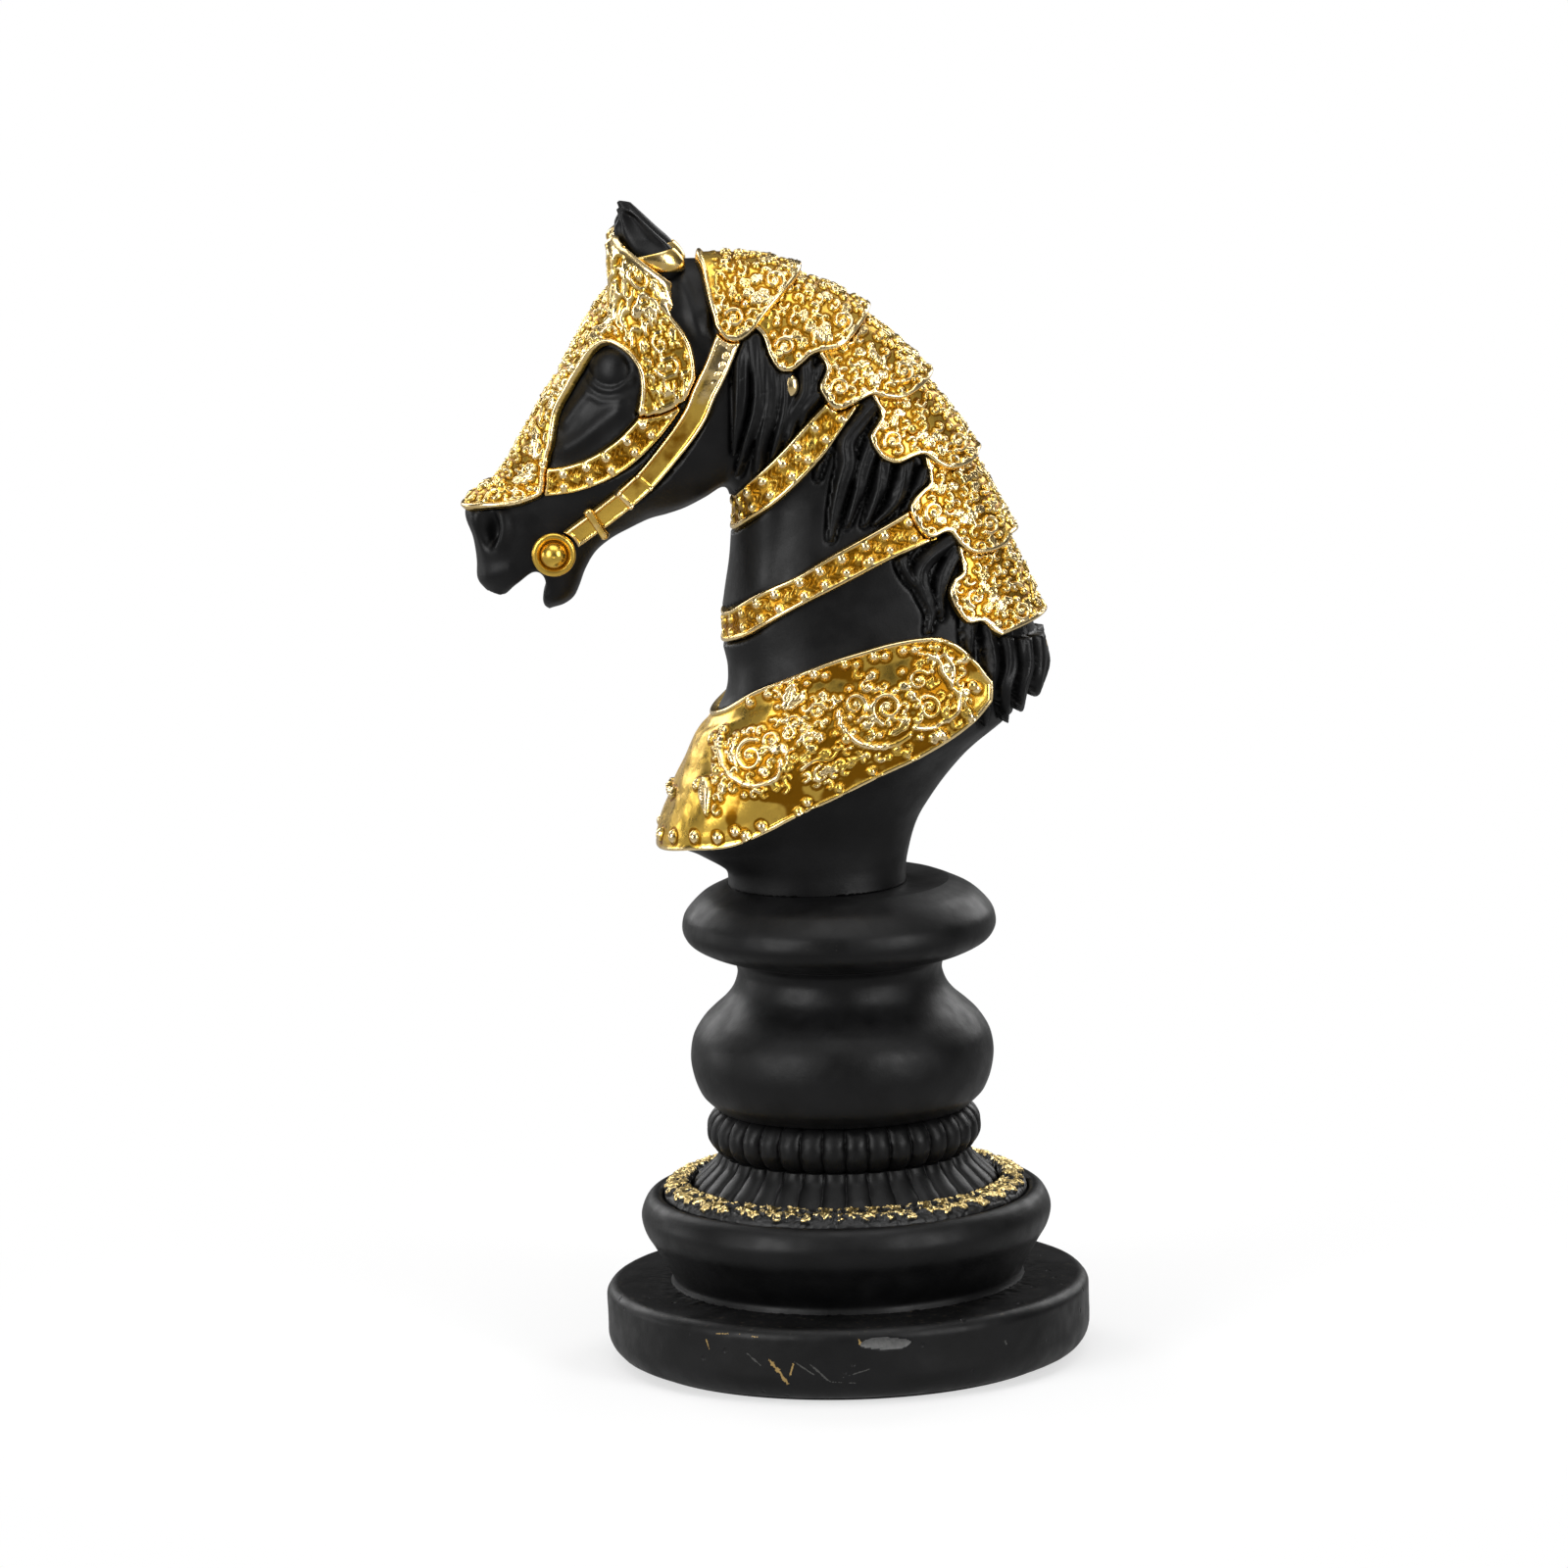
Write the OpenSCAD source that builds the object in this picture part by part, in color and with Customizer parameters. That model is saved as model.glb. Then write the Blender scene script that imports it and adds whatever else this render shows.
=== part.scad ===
// Oversized ornamental chess knight: a turned pedestal carrying a horse bust in plate barding.
// Frame: +Z up, origin at the centre of the resting face, the horse looks along -X.

/* [Pedestal] */
// Diameter of the plinth
plinth_d = 103.5; // [96:0.5:108]
// Height of the plinth, pad face to top face
plinth_h = 16.5; // [15:0.5:18]
// Widest diameter of the drum above the plinth
drum_d = 87.8; // [84:0.2:90]
// Widest diameter of the beaded ring
bead_ring_d = 58.5; // [56:0.5:60]
// Number of beads round the beaded ring, and of flutes round the skirt
bead_count = 36; // [30:1:40]
// Widest diameter of the baluster
bulb_d = 64.8; // [62:0.2:66]
// Widest diameter of the collar
collar_d = 67.2; // [64:0.2:70]

/* [Hardware] */
// Nominal diameter of the tie rod
rod_d = 6; // [5:1:6]
// Running gap round the rod in every casting
rod_gap = 0.2; // [0.15:0.05:0.3]
// Diameter of the locating pins
pin_d = 3; // [2.5:0.5:3]
// Diameter of the rivet shanks
rivet_d = 1.4; // [1.2:0.1:1.6]
// Diameter of the rivet heads
rivet_head_d = 3; // [2.6:0.1:3.2]

/* [Barding] */
// Thickness of the barding plates
plate_t = 1.1; // [0.9:0.1:1.3]
// Gap between the bust and a plate
plate_gap = 0.3; // [0.25:0.05:0.4]

/* [Hidden] */
$fn = 64;

black = [0.06, 0.06, 0.065];
gold = [0.85, 0.62, 0.16];
steel = [0.62, 0.63, 0.65];
felt = [0.05, 0.05, 0.05];

skirt_top = 44.5;
ring_top = 54.5;
bulb_top = 87;
collar_top = 103;
bust_foot_x = -4.5;
spigot_r = 12;
spigot_h = 3;
spigot_gap = 0.1;

// ---------------------------------------------------------------- splines and the bust's surface

// Ribs of the bust from the foot to the lips: [crest x, crest z, throat x, throat z, half width].
ribs = [
    [14.5, 103.0, -23.4, 103.0, 18.5], [15.0, 108.5, -24.2, 106.8, 18.3],
    [18.5, 118.5, -30.0, 110.2, 19.5], [27.5, 130.0, -36.8, 114.0, 22.0],
    [38.0, 139.0, -34.8, 121.0, 24.0], [44.0, 146.5, -31.5, 128.5, 24.5],
    [43.5, 155.0, -27.6, 136.5, 23.0], [41.0, 163.5, -23.2, 143.5, 21.3],
    [38.2, 172.0, -22.3, 150.0, 20.0], [34.5, 182.0, -23.6, 158.0, 19.0],
    [30.0, 192.5, -22.6, 166.0, 17.8], [24.5, 203.0, -21.2, 174.5, 16.8],
    [16.5, 214.5, -20.8, 182.5, 15.8], [5.0, 226.0, -21.0, 187.5, 15.0],
    [-9.0, 233.8, -22.5, 188.8, 14.2], [-22.0, 237.0, -26.0, 186.6, 13.8],
    [-33.5, 236.8, -30.0, 184.6, 14.0], [-42.5, 232.4, -34.0, 183.4, 14.5],
    [-48.5, 225.0, -38.0, 182.4, 14.5], [-53.3, 216.5, -42.0, 180.6, 13.2],
    [-58.0, 209.0, -46.0, 178.4, 11.4], [-62.5, 201.5, -49.5, 175.6, 9.8],
    [-67.0, 194.0, -51.8, 172.0, 8.8], [-72.0, 188.0, -53.2, 168.5, 8.6],
    [-75.0, 182.0, -54.5, 166.0, 8.2], [-74.8, 175.5, -56.5, 164.5, 7.4],
    [-72.8, 169.2, -58.8, 163.8, 5.5]
];
rib_last = len(ribs) - 1;
squareness = 2.3;
crest_taper = 0.16;

function clamp(x, lo, hi) = min(max(x, lo), hi);
function mix(a, b, t) = a + (b - a) * t;
function spow(x, p) = x < 0 ? -pow(-x, p) : pow(x, p);
function unit(v) = v / max(norm(v), 1e-9);

// Catmull-Rom curve through a list of points, at s from 0 to its last index.
function spline(p, s) =
    let (n = len(p) - 1, i = clamp(floor(s), 0, n - 1), t = s - i,
         a = p[max(i - 1, 0)], b = p[i], c = p[i + 1], d = p[min(i + 2, n)])
    0.5 * (2 * b + (c - a) * t + (2 * a - 5 * b + 4 * c - d) * t * t + (3 * b - a - 3 * c + d) * t * t * t);

function closed_spline(p, steps) =
    let (n = len(p))
    [for (i = [0 : n - 1], k = [0 : steps - 1])
        let (t = k / steps, a = p[(i + n - 1) % n], b = p[i], c = p[(i + 1) % n], d = p[(i + 2) % n])
        0.5 * (2 * b + (c - a) * t + (2 * a - 5 * b + 4 * c - d) * t * t
               + (3 * b - a - 3 * c + d) * t * t * t)];

// A point on the bust: s runs from foot to lips, turn is 0 at the crest and 180 at the throat.
function skin(s, turn) =
    let (r = spline(ribs, s), c = spow(cos(turn), 2 / squareness), w = spow(sin(turn), 2 / squareness),
         taper = 1 - crest_taper * c * clamp((18 - s) / 6, 0, 1) * clamp(s / 3, 0, 1))
    [(r[0] + r[2]) / 2 + (r[0] - r[2]) / 2 * c, r[4] * w * taper, (r[1] + r[3]) / 2 + (r[1] - r[3]) / 2 * c];

function skin_normal(s, turn) =
    let (ds = 0.05, dt = 1.5,
         s0 = clamp(s - ds, 0, rib_last), s1 = clamp(s + ds, 0, rib_last))
    unit(cross(skin(s, turn + dt) - skin(s, turn - dt), skin(s1, turn) - skin(s0, turn)));

function over_skin(s, turn, gap) = skin(s, turn) + skin_normal(s, turn) * gap;

// Closed solid between two grids of points, each a list of rows. With wrap, every row is a ring.
module sheet(inner, outer, wrap = false) {
    rows = len(inner);
    cols = len(inner[0]);
    n = rows * cols;
    last = wrap ? cols - 1 : cols - 2;
    points = concat([for (r = inner) each r], [for (r = outer) each r]);
    function at(layer, i, j) = layer * n + i * cols + j % cols;
    function quad(a, b, c, d) = [[a, b, c], [a, c, d]];
    skins = [for (i = [0 : rows - 2], j = [0 : last])
        each concat(quad(at(0, i, j), at(0, i, j + 1), at(0, i + 1, j + 1), at(0, i + 1, j)),
                    quad(at(1, i, j), at(1, i + 1, j), at(1, i + 1, j + 1), at(1, i, j + 1)))];
    ends = [for (j = [0 : last], e = [0, rows - 1])
        each e == 0 ? quad(at(0, e, j), at(1, e, j), at(1, e, j + 1), at(0, e, j + 1))
                    : quad(at(0, e, j), at(0, e, j + 1), at(1, e, j + 1), at(1, e, j))];
    sides = wrap ? [] : [for (i = [0 : rows - 2], e = [0, cols - 1])
        each e == 0 ? quad(at(0, i, e), at(0, i + 1, e), at(1, i + 1, e), at(1, i, e))
                    : quad(at(0, i, e), at(1, i, e), at(1, i + 1, e), at(0, i + 1, e))];
    polyhedron(points = points, faces = concat(skins, ends, sides));
}

// Closed solid through a list of rings of points, with flat ends.
module loft(rings) {
    n = len(rings[0]);
    m = len(rings);
    points = [for (r = rings) each r];
    walls = [for (i = [0 : m - 2], j = [0 : n - 1])
        let (k = (j + 1) % n)
        each [[i * n + j, (i + 1) * n + j, (i + 1) * n + k], [i * n + j, (i + 1) * n + k, i * n + k]]];
    foot = [for (j = [0 : n - 1]) j];
    head = [for (j = [n - 1 : -1 : 0]) (m - 1) * n + j];
    polyhedron(points = points, faces = concat(walls, [foot, head]));
}

// Steps of a range, from a to b inclusive, at most step long.
function steps(a, b, step) = let (n = max(1, ceil(abs(b - a) / step))) [for (i = [0 : n]) mix(a, b, i / n)];

// Shell that follows the bust's skin over a range of ribs and turns.
module skin_shell(s0, s1, t0, t1, low, high, ds = 0.34, dt = 9) {
    grid_s = steps(s0, s1, ds);
    grid_t = steps(t0, t1, dt);
    sheet([for (s = grid_s) [for (t = grid_t) over_skin(s, t, low)]],
          [for (s = grid_s) [for (t = grid_t) over_skin(s, t, high)]]);
}

// Prism along Y whose outline is drawn in the side view, as [x, z] points.
module side_prism(outline, y0, y1)
    translate([0, y1, 0]) rotate([90, 0, 0]) linear_extrude(y1 - y0) polygon(outline);

// Places a shape with its +Z along the bust's surface normal.
module on_skin(s, turn, gap) {
    n = skin_normal(s, turn);
    translate(over_skin(s, turn, gap)) rotate([0, acos(n[2]), atan2(n[1], n[0])]) children();
}

module both_sides() {
    children();
    mirror([0, 1, 0]) children();
}

// ---------------------------------------------------------------- pedestal

bore_r = rod_d / 2 + rod_gap;

// Turned casting with a bore for the rod; its spigot drops into the casting below.
module turned(z0, z1, outline, spigot = true, socket = true) {
    low = spigot ? [[bore_r, z0 - spigot_h], [spigot_r, z0 - spigot_h], [spigot_r, z0]] : [[bore_r, z0]];
    depth = spigot_h + spigot_gap;
    high = socket ? [[spigot_r + spigot_gap, z1], [spigot_r + spigot_gap, z1 - depth], [bore_r, z1 - depth]]
                  : [[bore_r, z1]];
    rotate_extrude() polygon(concat(low, outline, high));
}

function smooth_outline(p, per = 4) = [for (i = [0 : (len(p) - 1) * per]) spline(p, i / per)];

pad_t = 1.5;
pad_r = 46;
pad_proud = 0.5;
ballast_r = 32;
ballast_z = [2, 11.2];
nut_pocket_r = 10;
nut_z = [2.8, 7.8];
washer_t = 1.6;
seat_z = nut_z[1] + washer_t;

module foot_pad() color(felt) cylinder(r = pad_r, h = pad_t);

module plinth() color(black) difference() {
    edge_low = 6;
    edge_high = 2.6;
    r = plinth_d / 2;
    rotate_extrude() polygon(concat(
        [[bore_r, pad_proud]],
        [for (a = [-90 : 15 : 0]) [r - edge_low + edge_low * cos(a), pad_proud + edge_low + edge_low * sin(a)]],
        [for (a = [0 : 22.5 : 90])
            [r - edge_high + edge_high * cos(a), plinth_h - edge_high + edge_high * sin(a)]],
        [[spigot_r + spigot_gap, plinth_h], [spigot_r + spigot_gap, plinth_h - spigot_h - spigot_gap],
         [bore_r, plinth_h - spigot_h - spigot_gap]]));
    translate([0, 0, -1]) cylinder(r = pad_r + 0.3, h = 1 + pad_t);
    cylinder(r = ballast_r + 0.2, h = ballast_z[1]);
    pin_holes(plinth_pins, plinth_h);
}

module ballast_disc() color(steel) difference() {
    translate([0, 0, ballast_z[0]]) cylinder(r = ballast_r, h = ballast_z[1] - ballast_z[0]);
    cylinder(r = bore_r, h = 20);
    cylinder(r = nut_pocket_r, h = seat_z);
}

drum_seat = 34.6;

module base_drum() color(black) difference() {
    r = drum_d / 2;
    turned(plinth_h, drum_seat, smooth_outline([
        [r - 6.5, plinth_h], [r - 5.6, plinth_h + 2.6], [r - 3.2, plinth_h + 7], [r - 0.9, plinth_h + 10.8],
        [r, plinth_h + 14.2], [r - 0.4, plinth_h + 16.6], [r - 1.6, plinth_h + 18.6],
        [r - 3.4, plinth_h + 19.4], [r - 4.6, plinth_h + 18.9], [r - 4.8, drum_seat]]));
    pin_holes(plinth_pins, plinth_h);
}

skirt_r = 32.8;
leaf_count = 40;

module leaf_ring() color(gold) difference() {
    rotate_extrude() polygon([
        [skirt_r + 0.15, drum_seat], [drum_d / 2 - 5.1, drum_seat], [drum_d / 2 - 5.1, drum_seat + 1.6],
        [skirt_r + 3.8, drum_seat + 3.6], [skirt_r + 1.4, drum_seat + 4.7], [skirt_r + 0.15, drum_seat + 4.3]]);
    for (i = [0 : leaf_count - 1])
        rotate([0, 0, i * 360 / leaf_count]) translate([skirt_r - 1, 0, drum_seat + 4.6])
            rotate([0, 120, 0]) cylinder(r = 0.8, h = 8);
}

module fluted_skirt() color(black) difference() {
    turned(drum_seat, skirt_top, smooth_outline([
        [skirt_r, drum_seat], [skirt_r - 0.2, 37.4], [skirt_r - 1, 39], [skirt_r - 2.9, 40.8],
        [skirt_r - 5.1, 42.8], [skirt_r - 6, skirt_top]]));
    for (i = [0 : bead_count - 1])
        rotate([0, 0, (i + 0.5) * 360 / bead_count])
            translate([skirt_r - 5.4, 0, skirt_top + 1]) rotate([0, 142, 0]) cylinder(r = 0.55, h = 11);
}

module bead_ring() color(black) difference() {
    r = bead_ring_d / 2;
    mid = (skirt_top + ring_top) / 2;
    turned(skirt_top, ring_top, smooth_outline([
        [r - 3.6, skirt_top], [r - 1.3, skirt_top + 1.4], [r - 0.1, mid - 1.4], [r, mid], [r - 0.1, mid + 1.4],
        [r - 1.2, ring_top - 1.3], [r - 3, ring_top]]));
    for (i = [0 : bead_count - 1])
        rotate([0, 0, (i + 0.5) * 360 / bead_count])
            translate([r + 0.35, 0, skirt_top - 1]) cylinder(r = 1.1, h = ring_top - skirt_top + 2);
}

module baluster() color(black) {
    r = bulb_d / 2;
    turned(ring_top, bulb_top, smooth_outline([
        [r - 5.2, ring_top], [r - 2.6, ring_top + 3], [r - 0.4, ring_top + 7.6], [r - 0.1, ring_top + 12.2],
        [r - 1.8, ring_top + 17.2], [r - 5.8, ring_top + 21.8], [r - 9.2, ring_top + 25.2],
        [r - 10.5, ring_top + 29], [r - 9.8, bulb_top]]));
}

module collar() color(black) difference() {
    r = collar_d / 2;
    turned(bulb_top, collar_top, smooth_outline([
        [r - 11.1, bulb_top], [r - 5.6, 88.8], [r - 1.3, 91], [r, 93.4], [r - 0.8, 96], [r - 3.6, 99.3],
        [r - 6.8, 101.5], [r - 9.6, collar_top]]), socket = false);
    pin_holes(bust_pins, collar_top);
}

// ---------------------------------------------------------------- hardware inside

pin_h = 9;
pin_fit = 0.05;
plinth_pins = [[24, 0], [-24, 0]];
bust_pins = [[bust_foot_x - 12, 0], [bust_foot_x + 14, 0]];
rod_top = 116;
insert_r = 4.5;
insert_z = [collar_top + 0.4, collar_top + 14.4];

module pin_holes(at, z) for (p = at)
    translate([p[0], p[1], z - pin_h / 2 - 0.2]) cylinder(r = pin_d / 2 + pin_fit, h = pin_h + 0.4);

module tie_rod() color(steel) translate([0, 0, ballast_z[0] + 0.2])
    cylinder(r = rod_d / 2, h = rod_top - ballast_z[0] - 0.2);

module rod_nut() color(steel) translate([0, 0, nut_z[0]]) difference() {
    across_flats = 10;
    cylinder(r = across_flats / 2 / cos(30), h = nut_z[1] - nut_z[0], $fn = 6);
    translate([0, 0, -1]) cylinder(r = rod_d / 2 + 0.05, h = 8);
}

module rod_washer() color(steel) translate([0, 0, nut_z[1]]) difference() {
    cylinder(r = nut_pocket_r - 1, h = washer_t);
    translate([0, 0, -1]) cylinder(r = bore_r, h = washer_t + 2);
}

module bust_insert() color(gold) difference() {
    translate([0, 0, insert_z[0]]) cylinder(r = insert_r, h = insert_z[1] - insert_z[0]);
    cylinder(r = rod_d / 2 + 0.05, h = 200);
}

module locating_pins() color(steel) {
    for (p = plinth_pins) translate([p[0], p[1], plinth_h - pin_h / 2]) cylinder(r = pin_d / 2, h = pin_h);
    for (p = bust_pins) translate([p[0], p[1], collar_top - pin_h / 2]) cylinder(r = pin_d / 2, h = pin_h);
}

// ---------------------------------------------------------------- bust

bit_at = [-58.3, 176.7];
bar_r = 1.2;
mouth_gap = closed_spline([[-71, 160], [-68.6, 167.2], [-65.2, 170.6], [-62.4, 172.6], [-60.6, 171.2],
                           [-60.2, 168.6], [-61.2, 166.2], [-61, 158]], 3);
rivet_depth = 3.2;

module bust() color(black) difference() {
    loft([for (s = steps(0, rib_last, 0.45)) [for (i = [0 : 29]) skin(s, i * 12)]]);
    side_prism(mouth_gap, -20, 20);
    translate([0, 0, collar_top - 1]) cylinder(r = insert_r + 0.05, h = insert_z[1] - collar_top + 1.4);
    pin_holes(bust_pins, collar_top);
    translate([bit_at[0], 0, bit_at[1]]) rotate([90, 0, 0]) cylinder(r = bar_r + 0.15, h = 60, center = true);
    both_sides() {
        ear_peg(0.1);
        ear_socket(0.1);
    }
    rivet_shanks(0.05);
}

// Centre and half sizes of the ear from its root to its tip: [x, y, z, half length, half thickness].
ear_ribs = [[-35.6, 5.6, 234.8, 4.6, 2.6], [-35.8, 5.7, 238.0, 6.1, 3.0], [-36.9, 5.8, 241.6, 6.4, 2.9],
            [-38.2, 5.9, 244.8, 5.1, 2.3], [-39.7, 5.9, 247.4, 3.5, 1.7], [-40.9, 5.8, 249.2, 1.7, 0.8]];
ear_lean = 10;

function ear_ring(s, grow, n = 20) = let (r = spline(ear_ribs, s))
    [for (i = [0 : n - 1]) let (a = i * 360 / n)
        [r[0] + (r[3] + grow) * cos(a) * cos(ear_lean), r[1] + (r[4] + grow) * sin(a),
         r[2] - (r[3] + grow) * cos(a) * sin(ear_lean)]];

// Peg under the ear, and the shallow socket its root drops into.
module ear_peg(grow) translate([ear_ribs[0][0], ear_ribs[0][1], 230.6]) cylinder(r = 1.8 + grow, h = 6);

module ear_socket(grow) translate([0, 0, -grow]) loft([for (s = [0 : 0.3 : 1.5]) ear_ring(s, grow)]);

module ear() color(black) {
    loft([for (s = steps(0, 5, 0.45)) ear_ring(s, 0)]);
    ear_peg(0);
}

module ear_band() color(gold)
    sheet([for (s = [0.95 : 0.25 : 1.7]) ear_ring(s, 0.15)],
          [for (s = [0.95 : 0.25 : 1.7]) ear_ring(s, 1.1)], wrap = true);

// ---------------------------------------------------------------- barding

low = plate_gap;
high = plate_gap + plate_t;
strap_fit = 0.3;

chanfron_outline = closed_spline([
    [-33.6, 242], [-33, 234.4], [-33.1, 230.6], [-32.2, 227.6], [-29.7, 224.3], [-28, 221], [-27.2, 217],
    [-27.4, 213], [-29, 210], [-31.8, 208], [-35.6, 206.6], [-39.6, 206.4], [-46, 207.6], [-52.6, 203],
    [-57.6, 198], [-59.2, 194.6], [-59.6, 191.4], [-60.6, 188.9], [-64.2, 187.3], [-70, 186], [-78, 184.6],
    [-88, 184.6], [-88, 200], [-62, 236], [-46, 250]], 3);
eye_opening = closed_spline([
    [-45.4, 221.3], [-41.9, 219.6], [-39.6, 216.4], [-39, 213.2], [-39.3, 209.8], [-40.2, 206.9],
    [-42.8, 203], [-46.8, 199.8], [-52.3, 197.4], [-58.3, 196.3], [-57.6, 200.3], [-56.4, 206.5],
    [-53.8, 211.4], [-51.1, 215.9], [-48.4, 219.7]], 3);
eye_strap_line = smooth_outline([[-58, 192.2], [-54.1, 192.9], [-48.2, 195.2], [-42.9, 198.6],
                                 [-38, 203.3]], 3);
eye_strap_half = [for (i = [0 : len(eye_strap_line) - 1]) mix(3, 3.1, i / (len(eye_strap_line) - 1))];

module chanfron() color(gold) difference() {
    intersection() {
        skin_shell(15.2, 23.9, -112, 112, low, high);
        side_prism(chanfron_outline, -24, 24);
    }
    side_prism(eye_opening, -24, 24);
    side_prism(ribbon(cheek_line, cheek_half, strap_fit), -24, 24);
    both_sides() {
        ear_clearance();
        ear_peg(0.4);
    }
    shanks(chanfron_rivet_at, 0.05);
}

module ear_clearance() loft([for (s = [-0.2 : 0.4 : 1.8]) ear_ring(max(s, 0), s < 0 ? 1.9 : 1.4)]);

module eye_strap() color(gold) intersection() {
    skin_shell(16.2, 22, 50, 130, low, high);
    side_prism(ribbon(eye_strap_line, eye_strap_half), 0.5, 24);
}

// Band of even width along a line drawn in the side view.
function ribbon(line, half, grow = 0) = let (n = len(line) - 1)
    concat([for (i = [0 : n]) line[i] + (half[i] + grow) * side_of(line, i)],
           [for (i = [n : -1 : 0]) line[i] - (half[i] + grow) * side_of(line, i)]);
function side_of(line, i) = let (n = len(line) - 1, d = unit(line[min(i + 1, n)] - line[max(i - 1, 0)]))
    [-d[1], d[0]];

cheek_line = smooth_outline([[-21, 220.2], [-23, 215.6], [-25.6, 210.7], [-27.4, 206.6], [-30.2, 202.4],
                             [-33.8, 198], [-38, 193.2], [-41.4, 190], [-45.2, 186.8], [-48.9, 183.9],
                             [-54.4, 179.8]], 2);
cheek_half = [for (i = [0 : len(cheek_line) - 1]) mix(2.9, 2.2, i / (len(cheek_line) - 1))];

module cheek_strap() color(gold) difference() {
    intersection() {
        skin_shell(14.2, 22.4, 60, 140, low, high);
        side_prism(ribbon(cheek_line, cheek_half), 0.5, 24);
    }
    translate([bit_at[0], 0, bit_at[1]]) rotate([-90, 0, 0]) cylinder(r = boss_r + strap_fit, h = 30);
}

buckle_at = [-49.1, 183.5];
buckle_angle = 28;
strap_out = 10.85;

module strap_buckle() color(gold) translate([buckle_at[0], strap_out, buckle_at[1]])
    rotate([0, -buckle_angle, 0]) difference() {
        translate([-1.4, 0, -4]) cube([2.8, 2.6, 8]);
        translate([-2, -1, -2.8]) cube([4, 2.3, 5.6]);
    }

boss_r = 4.7;
boss_y = [10.2, 11.2];

// Hollow domed boss with a flange, threaded on the mouth bar.
module bit_boss() color(gold) translate([bit_at[0], 0, bit_at[1]]) rotate([-90, 0, 0])
    rotate_extrude() polygon(concat(
        [[0, boss_y[1] + 3.8], [0, boss_y[1] + 1.2], [bar_r + 0.05, boss_y[1] + 1.2], [bar_r + 0.05, boss_y[0]],
         [boss_r, boss_y[0]], [boss_r, boss_y[1]]],
        [for (a = [0 : 15 : 75]) [3.2 * cos(a), boss_y[1] + 0.6 + 3.2 * sin(a)]]));

module mouth_bar() color(gold) translate([bit_at[0], 0, bit_at[1]]) rotate([90, 0, 0])
    cylinder(r = bar_r, h = 2 * boss_y[1] + 2, center = true);

// Lames run down the crest; each row holds where one lame's pointed edge meets the crest.
lame_tips = [[-25.9, 239.2], [-4.6, 234.9], [10.0, 226.4], [22.9, 212.2], [32.0, 195.0], [38.4, 177.5],
             [44.2, 158.5]];
lame_ribs = [[12.7, 15.4], [11.4, 14.3], [10.3, 13.2], [9.3, 12.1], [8.2, 11.2], [6.5, 10.1]];
lame_lift = plate_t + 0.8;
lame_outlines = [
    [[-2.6, 241], [-4.6, 234.8], [-8, 231], [-11.6, 227.4], [-14.8, 223.6], [-17.6, 221.6], [-20.6, 221.8],
     [-22.8, 224.2], [-23.6, 227], [-24.6, 230.4], [-25.6, 235], [-26.6, 244]],
    [[14, 231], [10, 226.3], [8.6, 224.4], [5.9, 221.4], [3.2, 219.3], [-2, 218.4], [-4.6, 216.6], [-7, 215],
     [-9.8, 215.2], [-11.9, 218.2], [-13.2, 222.1], [-16, 226.6], [-10.2, 235], [-8, 244]],
    [[28, 216], [22.9, 212.2], [21.5, 210.8], [18.8, 209], [15.6, 207.9], [12.4, 208.4], [9.8, 209.2],
     [7.1, 208.2], [3.3, 206.7], [1.2, 207], [-0.8, 209.5], [-1.6, 211.7], [-0.2, 215.3], [-1.6, 218.2],
     [-1, 220.4], [5.6, 225], [8.2, 235]],
    [[39, 197], [32, 195.1], [31.1, 194], [29, 193], [25.8, 192.7], [23.1, 193.8], [20.5, 196], [18.4, 196],
     [15.2, 194.9], [13.1, 195.1], [10.5, 196.8], [8.7, 200.7], [10.1, 203.2], [11, 205.2], [9.7, 207.9],
     [9.4, 210.4], [18, 212.6], [26, 219]],
    [[45, 178], [38.4, 177.5], [36.7, 175.7], [33.7, 174.9], [30.1, 175.1], [27.2, 177.1], [24.9, 179.8],
     [21.9, 179], [20.1, 179.5], [17.8, 182.4], [16.8, 186.1], [19.1, 189], [20.8, 190.6], [20.2, 194.8],
     [19.6, 197.6], [29, 197.2], [37, 201]],
    [[50, 158.6], [44.2, 158.4], [43.4, 156.4], [40.4, 156.2], [36.8, 156.8], [33.8, 158.5], [31.5, 160.7],
     [28.5, 160.8], [26.2, 163.5], [24.6, 167.2], [25.5, 170.1], [27.4, 171.7], [26.5, 175.9],
     [26.2, 180.2], [35, 179], [43, 181]]];

// How far a lame's inner face stands off its plate gap: none at its upper edge, most at its lower tip.
function lame_rise(k, s, t) =
    let (p = skin(s, t), from = lame_tips[k], way = lame_tips[k + 1] - from)
    lame_lift * clamp([p[0] - from[0], p[2] - from[1]] * way / (way * way), 0, 1);

// One lame: its upper edge lies on the bust, its lobed lower edge rides over the lame below.
module crinet_lame(k) {
    function patch(gap) = [for (s = steps(lame_ribs[k][0], lame_ribs[k][1], 0.35)) [for (t = [-90 : 10 : 90])
        over_skin(s, t, lame_rise(k, s, t) + gap)]];
    color(gold) difference() {
        intersection() {
            sheet(patch(low), patch(high));
            side_prism(lame_outlines[k], -26, 26);
        }
        shanks(crinet_rivet_at, 0.05);
    }
}

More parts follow.
